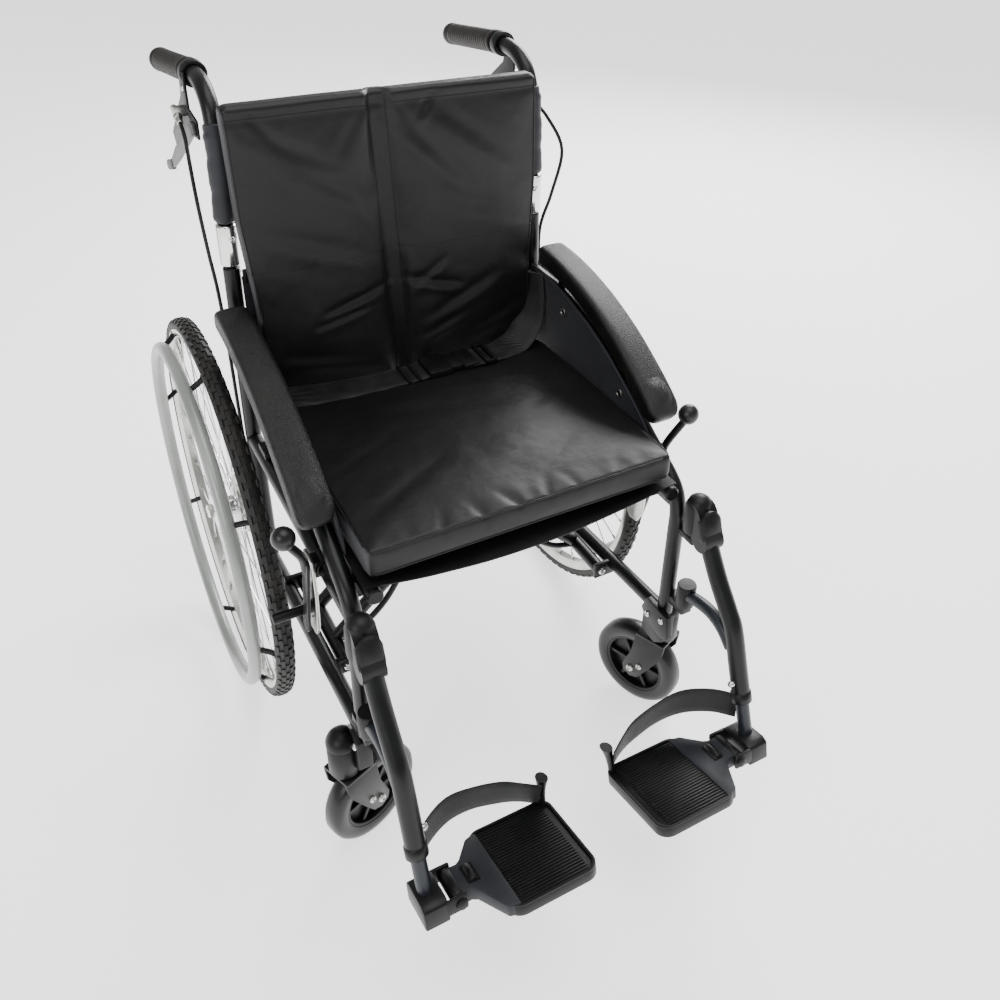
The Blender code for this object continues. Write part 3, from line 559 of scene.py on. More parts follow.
def rear_wheel(side, s):
    axis = (s, 0, 0)
    centre = (s * 0.287, 0, 0.303)
    wheel = f"{side}_wheel"
    tyre = Kit()
    profile = [(-0.0108, 0.2842), (0.0108, 0.2842), (0.0128, 0.2880), (0.0134, 0.2920), (0.0110, 0.2970),
               (0.0060, 0.2998), (0.0, 0.3006), (-0.0060, 0.2998), (-0.0110, 0.2970), (-0.0134, 0.2920),
               (-0.0128, 0.2880)]
    tyre.turned(centre, axis, profile, 128)
    for i in range(84):
        turn = 2 * math.pi * i / 84
        for a, r, lean, shift in ((0.0, 0.3008, 0.0, 0.5), (0.0055, 0.3000, 0.45, 0.0), (-0.0055, 0.3000, -0.45, 0.0),
                                  (0.0104, 0.2972, 0.95, 0.5), (-0.0104, 0.2972, -0.95, 0.5)):
            t = turn + shift * 2 * math.pi / 84
            out = Vector((0, math.cos(t), math.sin(t)))
            along = Vector((0, -math.sin(t), math.cos(t)))
            side_way = Vector((s, 0, 0))
            tilt_out = (math.cos(lean) * out + math.sin(lean) * side_way).normalized()
            tilt_side = (math.cos(lean) * side_way - math.sin(lean) * out).normalized()
            half = (0.0020, 0.0062, 0.0012) if abs(lean) < 0.2 else (0.0024, 0.0070, 0.0012)
            if abs(lean) > 0.9:
                half = (0.0026, 0.0058, 0.0014)
            place = Vector(centre) + Vector((s * a, 0, 0)) + r * out
            tyre.block(place, (tilt_side, along, tilt_out), half)
    tyre.make(f"{side}_tyre_tread", "tyre", wheel, "tyre", [f"{side}_tyre"])
    rim = Kit()
    rim.turned(centre, axis, [(-0.0108, 0.2858), (-0.0118, 0.2862), (-0.0122, 0.2845), (-0.0116, 0.2800),
                              (-0.0070, 0.2730), (0.0070, 0.2730), (0.0116, 0.2800), (0.0122, 0.2845),
                              (0.0118, 0.2862), (0.0108, 0.2858)], 128)
    rim.make(f"{side}_rim_hoop", "alu", wheel, "aluminium", [f"{side}_rim"])
    hub = Kit()
    hub.turned(centre, axis, [(-0.0180, 0.0066), (0.0210, 0.0066), (0.0215, 0.0180), (0.0190, 0.0275),
                              (0.0165, 0.0290), (0.0148, 0.0275), (0.0125, 0.0160), (-0.0115, 0.0160),
                              (-0.0138, 0.0275), (-0.0155, 0.0290), (-0.0172, 0.0275), (-0.0180, 0.0180)], 48)
    hub.make(f"{side}_hub_shell", "steel", wheel, "steel", [f"{side}_hub_spokes"])
    spokes = Kit()
    nipples = Kit()
    count = 36
    for i in range(count):
        end_turn = 2 * math.pi * (i + 0.25) / count
        flange = 0.0172 if i % 2 else -0.0162
        swing = math.radians(58) * (1 if (i // 2) % 2 else -1)
        hub_turn = end_turn + swing
        start = Vector(centre) + Vector((s * flange, 0.0262 * math.cos(hub_turn), 0.0262 * math.sin(hub_turn)))
        out = Vector((0, math.cos(end_turn), math.sin(end_turn)))
        end = Vector(centre) + 0.2735 * out
        spokes.tube([start, end], 0.0011, 8, 1)
        toward = (end - start).normalized()
        nipples.tube([end - 0.013 * toward, end + 0.0005 * toward], 0.0021, 8, 1)
    spokes.make(f"{side}_spokes", "steel", wheel, "steel")
    nipples.make(f"{side}_nipples", "chrome", wheel, "chrome")
    handrim = Kit()
    handrim.turned((s * 0.322, 0, 0.303), axis,
                   [(0.0097 * math.cos(2 * math.pi * k / 20), 0.262 + 0.0097 * math.sin(2 * math.pi * k / 20))
                    for k in range(20)], 128)
    handrim.make(f"{side}_handrim_ring", "handrim", wheel, "handrim", [f"{side}_handrim"])
    posts = Kit()
    for i in range(8):
        turn = 2 * math.pi * (i + 0.3) / 8
        out = Vector((0, math.cos(turn), math.sin(turn)))
        start = Vector((s * 0.3150, 0, 0.303)) + 0.2640 * out
        bend = Vector((s * 0.3030, 0, 0.303)) + 0.2730 * out
        end = Vector((s * 0.2975, 0, 0.303)) + 0.2790 * out
        posts.tube([start, bend, end], 0.0042, 12, 4)
        posts.tube([end, end + Vector((-s * 0.002, 0, 0)) + 0.0015 * out], 0.0062, 12, 1)
    posts.make(f"{side}_handrim_posts", "plastic", wheel, "plastic")


def drum_and_axle(side, s):
    drum = Kit()
    profile = [(0.2475, 0.0066), (0.2690, 0.0066), (0.2690, 0.0290), (0.2660, 0.0420), (0.2640, 0.0460),
               (0.2600, 0.0480), (0.2560, 0.0480), (0.2550, 0.0500), (0.2475, 0.0500)]
    drum.turned((0, 0, 0.303), (s, 0, 0), profile, 56)
    for k in range(5):
        turn = 2 * math.pi * (k + 0.2) / 5
        drum.bolt((s * 0.2675, 0.034 * math.cos(turn), 0.303 + 0.034 * math.sin(turn)), (s, 0, 0), 0.0030, 0.002)
    drum.slab(s * 0.2480, s * 0.2520, [(-0.048, 0.326), (-0.036, 0.356), (-0.028, 0.354), (-0.020, 0.340)])
    drum.make(f"{side}_drum_shell", "alu", f"{side}_frame", "aluminium", [f"{side}_drum_brake"], bevel=0.0006)
    axle = Kit()
    axle.tube([(s * 0.2475, 0, 0.303), (s * 0.312, 0, 0.303)], 0.0060, 20)
    axle.turned((0, 0, 0.303), (s, 0, 0), [(0.3085, 0.0), (0.3085, 0.0108), (0.3140, 0.0108), (0.3162, 0.0080),
                                           (0.3165, 0.0050), (0.3150, 0.0045), (0.3150, 0.0)], 28, closed=False)
    axle.make(f"{side}_axle_cap", "chrome", f"{side}_frame", "chrome", [f"{side}_wheel_axle"])


# ---------------------------------------------------------------- casters

def caster(side, s):
    yaw = math.radians({"left": -21.7, "right": 69.0}[side])
    back = Vector((math.sin(yaw), math.cos(yaw), 0))
    across = Vector((math.cos(yaw), -math.sin(yaw), 0))
    stem = Vector((s * 0.260, -0.430, 0))
    hub = stem + 0.038 * back + Vector((0, 0, 0.0733))

    def at(a, b, z):
        return stem + a * back + b * across + Vector((0, 0, z))

    fork = Kit()
    cheek = [(-0.0175, 0.1505), (-0.0145, 0.125), (0.010, 0.082), (0.024, 0.060), (0.038, 0.0550), (0.050, 0.062),
             (0.053, 0.074), (0.049, 0.086), (0.040, 0.110), (0.0345, 0.1505)]
    for low, high in ((-0.0240, -0.0198), (0.0198, 0.0240)):
        n = len(cheek)
        verts = [at(a, b, z) for b in (low, high) for a, z in cheek]
        faces = [tuple(range(n))[::-1], tuple(range(n, 2 * n))]
        faces += [(k, (k + 1) % n, n + (k + 1) % n, n + k) for k in range(n)]
        fork.add(verts, faces)
    fork.block(at(0.0085, 0, 0.1515), (back, across, Vector((0, 0, 1))), (0.0255, 0.0240, 0.0026))
    fork.make(f"{side}_fork_shell", "frame", f"{side}_caster", "frame_paint", [f"{side}_caster_fork"], bevel=0.0012)
    axle = Kit()
    axle.tube([hub - 0.0196 * across, hub + 0.0196 * across], 0.0042, 16)
    for way in (-1, 1):
        axle.bolt(hub + way * 0.0240 * across, way * across, 0.0062, 0.0042)
        axle.bolt(hub + way * 0.0240 * across - 0.016 * back + Vector((0, 0, 0.013)), way * across, 0.0052, 0.0035)
    axle.make(f"{side}_caster_bolt", "alu", f"{side}_caster", "aluminium", [f"{side}_caster_axle"])
    tyre = Kit()
    profile = [(-0.0140, 0.0520), (0.0140, 0.0520), (0.0155, 0.0560), (0.0160, 0.0630), (0.0140, 0.0690),
               (0.0090, 0.0728), (0.0, 0.0733), (-0.0090, 0.0728), (-0.0140, 0.0690), (-0.0160, 0.0630),
               (-0.0155, 0.0560)]
    tyre.turned(hub, across, profile, 72)
    roller = f"{side}_caster_roller"
    tyre.make(f"{side}_roller_tyre", "roller", roller, "caster_rubber", [f"{side}_caster_wheel"], angle=60)
    core = Kit()
    core.turned(hub, across, [(-0.0125, 0.0470), (0.0125, 0.0470), (0.0135, 0.0525), (-0.0135, 0.0525)], 72)
    core.turned(hub, across, [(-0.0170, 0.0052), (0.0170, 0.0052), (0.0175, 0.0140), (0.0140, 0.0160),
                              (-0.0140, 0.0160), (-0.0175, 0.0140)], 32)
    core.turned(hub, across, [(-0.0030, 0.0150), (0.0030, 0.0150), (0.0030, 0.0480), (-0.0030, 0.0480)], 48)
    for k in range(6):
        turn = 2 * math.pi * k / 6
        out = math.cos(turn) * back + Vector((0, 0, math.sin(turn)))
        way = across.cross(out)
        core.block(hub + 0.031 * out, (across, way, out), (0.0095, 0.0030, 0.018))
    core.make(f"{side}_roller_hub", "plastic", roller, "plastic", bevel=0.0008)


# ---------------------------------------------------------------- leg rests

DOWN = Vector((0.0, -0.36, -0.933)).normalized()
HINGE_Y, HINGE_Z = -0.6515, 0.162
TILT = math.radians(14.5)


def tilted(a, b):
    """Along and up offsets in the plane of the footplates, to (y, z)."""
    c, t = math.cos(TILT), math.sin(TILT)
    return HINGE_Y + a * c + b * t, HINGE_Z - a * t + b * c


def leg_rest(side, s):
    x = s * 0.240
    mouth = Vector((x, -0.630, 0.221))
    straight = mouth - 0.105 * DOWN
    hanger = Kit()
    path = [(x, -0.504, 0.452), (x, -0.512, 0.428), (x, -0.545, 0.378), (x, -0.575, 0.342),
            tuple(straight), tuple(mouth - 0.05 * DOWN), tuple(mouth)]
    hanger.tube(path, 0.0127, 22, 5)
    brace = [(-0.490, 0.2985), (-0.52, 0.308), (-0.548, 0.311), (-0.572, 0.304), (-0.594, 0.2870)]
    body = f"{side}_legrest"
    hanger.make(f"{side}_hanger_tube", "frame", body, "frame_paint", [f"{side}_hanger"])
    stay = Kit()
    stay.tube([(x, y, z) for y, z in brace], 0.0092, 18, 5)
    stay = stay.make(f"{side}_hanger_brace", "bluish", body, "frame_paint")
    axis_at = mouth + Vector((0, AXLE_Y, 0))
    for v in stay.data.vertices:             # the end is shaped to the wall of the hanger tube
        away = v.co - axis_at
        away -= away.dot(DOWN) * DOWN
        if away.length < 0.0112:
            v.co += away.normalized() * (0.0112 - away.length)
    cap = Kit()
    cap.turned((x, -0.490, 0), (0, 0, 1), [(0.418, 0), (0.418, 0.0178), (0.424, 0.0186), (0.460, 0.0182),
                                           (0.470, 0.0140), (0.4745, 0.0070), (0.4755, 0.0)], 32, closed=False)
    cap.slab(x - 0.0150, x + 0.0150, bar_outline((-0.495, 0.452), (-0.516, 0.420), 0.0160))
    facing = Vector((0, -0.944, 0.33))
    along = Vector((0, -0.33, -0.944))
    disc = Vector((x, -0.5175, 0.4390))
    for low, high, grow in ((-0.004, 0.0050, 1.0), (0.0045, 0.0062, 0.90)):
        rings = []
        for lift, inset in ((low, 1.0), (high - 0.001, 1.0), (high, 0.94)):
            ring = []
            for k in range(40):
                a = 2 * math.pi * k / 40
                wide = 0.0165 * grow * inset * math.cos(a)
                tall = 0.0165 * grow * inset * math.sin(a) + math.copysign(0.0085, math.sin(a))
                ring.append(disc + lift * facing + wide * Vector((1, 0, 0)) + tall * along)
            rings.append(ring)
        cap.rings(rings)
    cap.turned((x, -0.490, 0), (0, 0, 1), [(0.2800, 0), (0.2800, 0.0130), (0.283, 0.0140), (0.315, 0.0140),
                                           (0.318, 0.0125), (0.3185, 0)], 28, closed=False)
    cap.tube([tuple(mouth - 0.016 * DOWN), tuple(mouth + 0.002 * DOWN)], 0.0142, 24, 1)
    cap.make(f"{side}_hanger_cap", "plastic", body, "plastic", angle=50)
    knob = Kit()
    knob.bolt(tuple(disc + 0.0060 * facing + 0.0165 * along), facing, 0.0032, 0.0018)
    grip_at = mouth - 0.030 * DOWN
    knob.bolt(tuple(grip_at + Vector((-s * 0.0125, 0, 0))), (-s, 0, 0), 0.0046, 0.006)
    knob.make(f"{side}_hanger_screws", "steel", body, "steel")

    slider = Kit()
    foot = mouth + 0.070 * DOWN
    slider.tube([tuple(mouth - 0.072 * DOWN), tuple(foot)], 0.0095, 20, 1)
    slider.make(f"{side}_slide_tube", "bluish", f"{side}_footrest", "frame_paint", [f"{side}_footrest_tube"])
    clamp = Kit()
    low, high = s * 0.2225, s * 0.2540
    outline = [tilted(a, b) for a, b in ((-0.0285, -0.0165), (0.0285, -0.0165), (0.0285, 0.0100), (0.020, 0.0150),
                                         (-0.020, 0.0150), (-0.0285, 0.0100))]
    clamp.slab(low, high, outline)
    for a0, a1 in ((-0.0292, -0.0236), (0.0236, 0.0292)):
        rounded = [(a0, -0.0105), (a1, -0.0105), (a1, 0.0105), (a0, 0.0105)]
        clamp.slab(s * 0.1985, s * 0.2265, [tilted(a, b) for a, b in rounded])
    clamp.make(f"{side}_plate_clamp", "plastic", f"{side}_footrest", "plastic", bevel=0.0025)
    bolts = Kit()
    forward = Vector((0, -math.cos(TILT), math.sin(TILT)))
    y, z = tilted(-0.0292, 0.0)
    bolts.turned((s * 0.207, y, z), forward, [(-0.001, 0), (-0.001, 0.0075), (0.0025, 0.0072), (0.0038, 0.0050),
                                              (0.0042, 0)], 24, closed=False)
    y, z = tilted(0.0292, 0.0)
    bolts.turned((s * 0.207, y, z), -forward, [(-0.001, 0), (-0.001, 0.0060), (0.0030, 0.0055), (0.0034, 0)], 24,
                 closed=False)
    bolts.make(f"{side}_plate_pins", "plastic", f"{side}_footrest", "plastic")


def footplate(side, s):
    """A moulded tray: a rim round a ribbed floor, a gusset at the hinge and a flared post for the strap."""
    plate = Kit()
    c, t = math.cos(TILT), math.sin(TILT)
    side_way = Vector((1, 0, 0))
    along = Vector((0, c, -t))
    up = Vector((0, t, c))

    def at(x, a, b):
        y, z = tilted(a, b)
        return Vector((s * x, y, z))

    def outline_solid(outline, low, high):
        n = len(outline)
        v = [at(px, a, b) for b in (low, high) for px, a in outline]
        f = [tuple(range(n))[::-1], tuple(range(n, 2 * n))]
        f += [(k, (k + 1) % n, n + (k + 1) % n, n + k) for k in range(n)]
        plate.add(v, f)

    def corner(cx, ca, r, first):
        return [(cx + r * math.cos(math.radians(first + 15 * k)), ca + r * math.sin(math.radians(first + 15 * k)))
                for k in range(7)]

    tray = corner(0.146, -0.058, 0.018, -90) + corner(0.146, 0.044, 0.016, 0)
    tray += corner(0.061, 0.044, 0.016, 90) + corner(0.063, -0.058, 0.018, 180)
    outline_solid(tray, -0.0105, 0.0026)
    centre_x, centre_a = 0.1045, -0.008
    rim_in = [(centre_x + (px - centre_x) * 0.935, centre_a + (a - centre_a) * 0.945) for px, a in tray]
    n = len(tray)
    v = [at(px, a, b) for b in (0.0026, 0.0052) for px, a in tray]
    v += [at(px, a, b) for b in (0.0026, 0.0052) for px, a in rim_in]
    f = []
    for k in range(n):
        m = (k + 1) % n
        f += [(k, m, n + m, n + k), (2 * n + k, 3 * n + k, 3 * n + m, 2 * n + m), (n + k, n + m, 3 * n + m, 3 * n + k),
              (k, 2 * n + k, 2 * n + m, m)]
    plate.add(v, f)
    for k in range(27):
        a = -0.068 + 0.120 * k / 26
        plate.block(at(0.1040, a, 0.0030), (side_way, along, up), (0.0460, 0.0012, 0.0010))
    row = 0.062 if s > 0 else 0.146
    for k in range(26):
        plate.block(at(row, -0.062 + 0.100 * k / 25, 0.0044), (side_way, along, up), (0.0010, 0.0008, 0.0008))
    plate.make(f"{side}_tread_plate", "plastic", f"{side}_foot_flip", "plastic", [f"{side}_footplate"], bevel=0.0006)
    wing = Kit()
    edge = [(0.150, -0.0735), (0.166, -0.068), (0.186, -0.0262), (0.192, -0.0222), (0.2060, -0.0222),
            (0.2060, 0.0222), (0.192, 0.0222), (0.186, 0.0262), (0.166, 0.052), (0.150, 0.0580)]
    n = len(edge)
    v = [at(px, a, -0.0104) for px, a in edge]
    v += [at(px, a, 0.0054 + 0.0030 * (px - 0.150) / 0.056) for px, a in edge]
    wing.add(v, [tuple(range(n))[::-1], tuple(range(n, 2 * n))] + [(k, (k + 1) % n, n + (k + 1) % n, n + k)
                                                                  for k in range(n)])
    wing.make(f"{side}_plate_gusset", "gusset", f"{side}_foot_flip", "plastic", bevel=0.0018)
    extra = Kit()
    start, end = at(0.207, -0.0228, 0), at(0.207, 0.0228, 0)
    extra.tube([tuple(start), tuple(end)], 0.0098, 22, 1)
    rings = []
    for k in range(9):
        u = k / 8
        flare = 1 + 0.9 * u ** 3
        p = at(0.0535 - 0.004 * u * u, 0.052 + 0.003 * u, 0.002 + 0.040 * u)
        rings.append([p + (0.0042 * flare * math.cos(q)) * side_way + (0.0058 * flare * math.sin(q)) * along
                      for q in (2 * math.pi * m / 16 for m in range(16))])
    extra.rings(rings)
    extra.block(at(0.1830, 0.0, 0.0072), (side_way, along, up), (0.0075, 0.0150, 0.0012))
    extra.tube([tuple(at(0.1830, -0.0135, 0.0060)), tuple(at(0.1830, 0.0135, 0.0060))], 0.0058, 20, 1)
    extra.make(f"{side}_plate_hinge", "plastic", f"{side}_foot_flip", "plastic", angle=50)


def strap_mesh(name, route, up, width, thick, finish, slot_name):
    """A flat strap: its middle line, the direction of its width at each point, and rounded edges."""
    pts = curve(route, 6)
    ups = curve(up, 6)
    kit = Kit()
    rings = []
    for i, p in enumerate(pts):
        ahead = (pts[min(i + 1, len(pts) - 1)] - pts[max(i - 1, 0)]).normalized()
        wide = (ups[i] - ups[i].dot(ahead) * ahead).normalized()
        face = ahead.cross(wide)
        h, t = width / 2, thick / 2
        rings.append([p + a * wide + b * face for a, b in
                      ((-h, -t * 0.4), (-h * 0.96, -t), (-h * 0.5, -t), (0, -t * 0.9), (h * 0.5, -t), (h * 0.96, -t),
                       (h, -t * 0.4), (h, t * 0.4), (h * 0.96, t), (h * 0.5, t), (0, t * 0.9), (-h * 0.5, t),
                       (-h * 0.96, t), (-h, t * 0.4))])
    kit.rings(rings)
    length = sum((b - a).length for a, b in zip(pts, pts[1:]))
    return kit.make(name, finish, None, slot_name, angle=60), length


def heel_strap(side, s):
    route = [(0.2395, -0.6235, 0.203), (0.2150, -0.598, 0.201), (0.180, -0.578, 0.196), (0.142, -0.572, 0.187),
             (0.105, -0.575, 0.178), (0.078, -0.584, 0.172), (0.056, -0.597, 0.169)]
    route = [(s * px, y, z) for px, y, z in route]
    up = [(0, 0.10, 1.0)] * 3 + [(0, 0.0, 1.0)] * 2 + [(0, -0.1, 1.0)] * 2
    strap, length = strap_mesh(f"{side}_heel_webbing", route, up, 0.042, 0.0020, "webbing", "webbing")
    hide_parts(f"{side}_heel_strap")
    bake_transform(strap)


# ---------------------------------------------------------------- cross brace

def brace_arm(name, part, low_side, legs_y):
    low = low_side * 0.211
    middle = (0.219 + 0.471) / 2
    kit = Kit()
    kit.tube([(low, -0.3138, 0.219), (low, -0.1262, 0.219)], 0.0106, 20, 1)
    kit.tube([(-low, -0.4675, 0.471), (-low, -0.0835, 0.471)], 0.0106, 20, 1)
    rise = [(1.0, 0.0), (0.78, 0.044), (0.58, 0.082), (0.36, 0.104)]
    for y in legs_y:
        lower = [(low * t, y, 0.219 + z) for t, z in rise]
        upper = [(-p[0], y, 2 * middle - p[2]) for p in lower[::-1]]
        kit.tube(lower + [(0, y, middle)] + upper, 0.0097, 18, 4)
    front = legs_y[0]
    kit.tube([(low * 0.97, front, 0.215), (low * 0.80, front, 0.227), (low * 0.62, front, 0.259),
              (low * 0.46, front, 0.311)], 0.0046, 12, 4)
    kit.make(f"{name}_tubes", "frame", part, "frame_paint", [name])
    collars = Kit()
    for y in legs_y:
        collars.tube([(0, y - 0.0115, middle), (0, y + 0.0115, middle)], 0.0165, 22, 1)
    for y0, y1 in ((-0.330, -0.3140), (-0.126, -0.116)):
        collars.tube([(low, y0 + (0.0075 if y0 < -0.2 else 0), 0.219), (low, y1, 0.219)], 0.0112, 20, 1)
    collars.make(f"{name}_collars", "plastic", part, "plastic")


def brace_bolt():
    kit = Kit()
    middle = (0.219 + 0.471) / 2
    kit.tube([(0, -0.290, middle), (0, -0.140, middle)], 0.0044, 16, 1)
    kit.turned((0, -0.2905, middle), (0, -1, 0), [(-0.001, 0), (-0.001, 0.0085), (0.003, 0.0085), (0.0055, 0.0060),
                                                  (0.0055, 0.0040), (0.0030, 0.0038), (0.0030, 0)], 6, closed=False)
    kit.make("brace_bolt_head", "steel", "brace_a", "steel", ["brace_pivot_bolt"])


# ---------------------------------------------------------------- parking brakes

def bar_outline(start, end, half, steps=8):
    (y0, z0), (y1, z1) = start, end
    heading = math.atan2(z1 - z0, y1 - y0)
    points = []
    for (y, z), first in (((y1, z1), -90), ((y0, z0), 90)):
        for k in range(steps + 1):
            turn = heading + math.radians(first + 180 * k / steps)
            points.append((y + half * math.cos(turn), z + half * math.sin(turn)))
    return points


def parking_brake(side, s):
    frame_body = f"{side}_frame"
    arm = Kit()
    arm.slab(s * 0.2500, s * 0.2550, [(-0.360, 0.458), (-0.330, 0.458), (-0.320, 0.400), (-0.316, 0.335),
                                      (-0.326, 0.320), (-0.345, 0.322), (-0.356, 0.345), (-0.362, 0.400)])
    arm.slab(s * 0.2500, s * 0.2575, [(-0.357, 0.452), (-0.334, 0.452), (-0.331, 0.425), (-0.357, 0.425)])
    arm.make(f"{side}_brake_plate", "alu", frame_body, "aluminium", [f"{side}_parking_bracket"], bevel=0.0016)
    clamp = Kit()
    ring = [(0.0136 * math.cos(2 * math.pi * k / 24), 0.0136 * math.sin(2 * math.pi * k / 24)) for k in range(24)]
    rings = []
    for y in (-0.360, -0.357, -0.335, -0.332):
        grow = 0.94 if y in (-0.360, -0.332) else 1.0
        rings.append([Vector((s * 0.235 + a * grow, y, 0.440 + b * grow)) for a, b in ring])
    clamp.rings(rings)
    clamp.box((s * 0.240, -0.357, 0.428), (s * 0.2502, -0.335, 0.452))
    clamp.make(f"{side}_brake_clamp", "plastic", frame_body, "plastic", bevel=0.001)
    bolts = Kit()
    bolts.bolt((s * 0.2575, -0.3455, 0.438), (s, 0, 0), 0.0050, 0.003)
    bolts.bolt((s * 0.2552, -0.340, 0.350), (s, 0, 0), 0.0020, 0.001)
    bolts.make(f"{side}_brake_bolts", "steel", frame_body, "steel")
    shoe = Kit()
    shoe.slab(s * 0.2560, s * 0.2602, bar_outline((-0.348, 0.378), (-0.3162, 0.345), 0.0085))
    shoe.tube([(s * 0.2575, -0.3162, 0.345), (s * 0.3022, -0.3162, 0.345)], 0.0068, 18, 1)
    shoe.make(f"{side}_shoe_bar", "plastic", f"{side}_parking_shoe", "plastic", [f"{side}_parking_shoe"],
              bevel=0.0007)
    lever = Kit()
    lever.slab(s * 0.2606, s * 0.2652, bar_outline((-0.335, 0.335), (-0.372, 0.470), 0.0092))
    lever.tube([(s * 0.263, -0.368, 0.455), (s * 0.268, -0.376, 0.485), (s * 0.287, -0.386, 0.522)], 0.0056, 16, 5)
    lever.make(f"{side}_lever_blade", "frame", f"{side}_parking_lever", "frame_paint", [f"{side}_parking_lever"],
               bevel=0.0007)
    knob = Kit()
    profile = [(-0.0150 * math.cos(math.radians(a)), 0.0145 * math.sin(math.radians(a))) for a in range(0, 181, 12)]
    knob.turned((s * 0.289, -0.388, 0.531), Vector((s * 0.35, -0.2, 1)), profile, 30, closed=False)
    knob.make(f"{side}_lever_knob", "roller", f"{side}_parking_lever", "plastic")


# ---------------------------------------------------------------- back posts, grips and attendant brakes

def back_post(side, s):
    part = f"{side}_back"
    path = [(0.2300, -0.033, 0.7762), (0.2282, -0.033, 0.83), (0.2262, -0.031, 0.885), (0.2247, -0.018, 0.922),
            (0.2242, 0.010, 0.9415), (0.2245, 0.045, 0.9465), (0.2248, 0.0735, 0.9455)]
    post = Kit()
    post.tube([(s * x, y, z) for x, y, z in path], 0.0114, 24, 7)
    post.make(f"{side}_post_tube", "frame", part, "frame_paint", [f"{side}_back_post"])
    sleeve = Kit()
    sleeve.tube([(s * 0.2305, -0.033, 0.7177), (s * 0.2298, -0.033, 0.7755)], 0.0136, 28, 1)
    sleeve.slab(s * 0.2303, s * 0.2390, [(-0.030, 0.7177), (-0.005, 0.7177), (-0.005, 0.730), (-0.014, 0.742),
                                         (-0.030, 0.742)])
    sleeve.box((s * 0.2303, -0.019, 0.7095), (s * 0.2390, -0.005, 0.720))
    sleeve.make(f"{side}_chrome_sleeve", "chrome", part, "chrome", [f"{side}_hinge_sleeve"], bevel=0.0006)
    screw = Kit()
    screw.bolt((s * 0.2275, -0.0462, 0.757), (-s * 0.2, -1, 0), 0.0042, 0.0026)
    screw.make(f"{side}_sleeve_screw", "steel", part, "steel")
    cloth = Kit()
    pts = [(s * 0.2298, -0.033, 0.779), (s * 0.2282, -0.033, 0.83), (s * 0.2265, -0.0315, 0.880),
           (s * 0.2256, -0.026, 0.904)]
    cloth.tube(pts, lambda t: 0.0140 + 0.0007 * math.sin(19 * t) + 0.0004 * math.sin(43 * t), 26, 8)
    # the sleeve takes the lighter nylon, a painted sheen
    cloth.make(f"{side}_post_sleeve", "hem_painted_sheen", part, "nylon", angle=60)


def push_grip(side, s):
    part = f"{side}_back"
    kit = Kit()
    start = Vector((s * 0.2248, 0.0755, 0.9455))
    end = Vector((s * 0.2302, 0.247, 0.9245))
    ahead = (end - start).normalized()
    length = (end - start).length

    def profile():
        rows = [(0.0, 0.0122), (0.0, 0.0158), (0.002, 0.0172), (0.006, 0.0172), (0.008, 0.0160)]
        a = 0.012
        while a < length - 0.022:
            rows += [(a, 0.0150), (a + 0.0016, 0.0163), (a + 0.0042, 0.0163), (a + 0.0058, 0.0150)]
            a += 0.0074
        rows += [(length - 0.014, 0.0152), (length - 0.012, 0.0168), (length - 0.004, 0.0168),
                 (length - 0.001, 0.0150), (length, 0.0110), (length + 0.0002, 0.0)]
        return [(0.0, 0.0)] + rows

    kit.turned(start, ahead, profile(), 36, closed=False)
    kit.make(f"{side}_grip_sleeve", "grip", part, "grip_rubber", [f"{side}_grip"], angle=50)


def attendant_brake(side, s):
    part = f"{side}_back"
    kit = Kit()
    kit.turned((s * 0.2246, 0.050, 0.9465), (0, 1, 0), [(0.0, 0.0118), (0.016, 0.0118), (0.016, 0.0166),
                                                        (0.0145, 0.0176), (0.0015, 0.0176), (0.0, 0.0166)], 36)
    outer = [(0.044, 0.951), (0.068, 0.951), (0.080, 0.915), (0.130, 0.880), (0.186, 0.838), (0.174, 0.822),
             (0.110, 0.858), (0.060, 0.872), (0.004, 0.876), (0.004, 0.900), (0.045, 0.906)]
    kit.slab(s * 0.2372, s * 0.2405, outer)
    kit.make(f"{side}_brake_mount", "plastic", part, "plastic", [f"{side}_brake_bracket"], bevel=0.0008)
    metal = Kit()
    metal.box((s * 0.2390, 0.058, 0.893), (s * 0.2558, 0.070, 0.905))
    metal.tube([(s * 0.2520, 0.078, 0.9015), (s * 0.2520, 0.060, 0.894), (s * 0.2520, 0.045, 0.888)], 0.0043, 16, 3)
    metal.tube([(s * 0.2520, 0.060, 0.894), (s * 0.2520, 0.054, 0.8915)], 0.0060, 16, 1)
    metal.bolt((s * 0.2408, 0.052, 0.930), (s, 0, 0), 0.0045, 0.003)
    metal.make(f"{side}_brake_adjuster", "alu", part, "aluminium", bevel=0.0006)
    lever = Kit()
    lever.slab(s * 0.2410, s * 0.2452, [(0.008, 0.896), (0.006, 0.882), (0.030, 0.871), (0.150, 0.806),
                                        (0.210, 0.7765), (0.216, 0.788), (0.160, 0.824), (0.034, 0.889),
                                        (0.020, 0.897)])
    lever.make(f"{side}_lever_arm", "lever", f"{side}_brake_lever", "aluminium", [f"{side}_brake_lever"], bevel=0.0010)
    tip = Kit()
    tip.slab(s * 0.2400, s * 0.2462, bar_outline((0.212, 0.7825), (0.246, 0.7715), 0.0078))
    tip.make(f"{side}_lever_tip", "plastic", f"{side}_brake_lever", "plastic", bevel=0.0016)


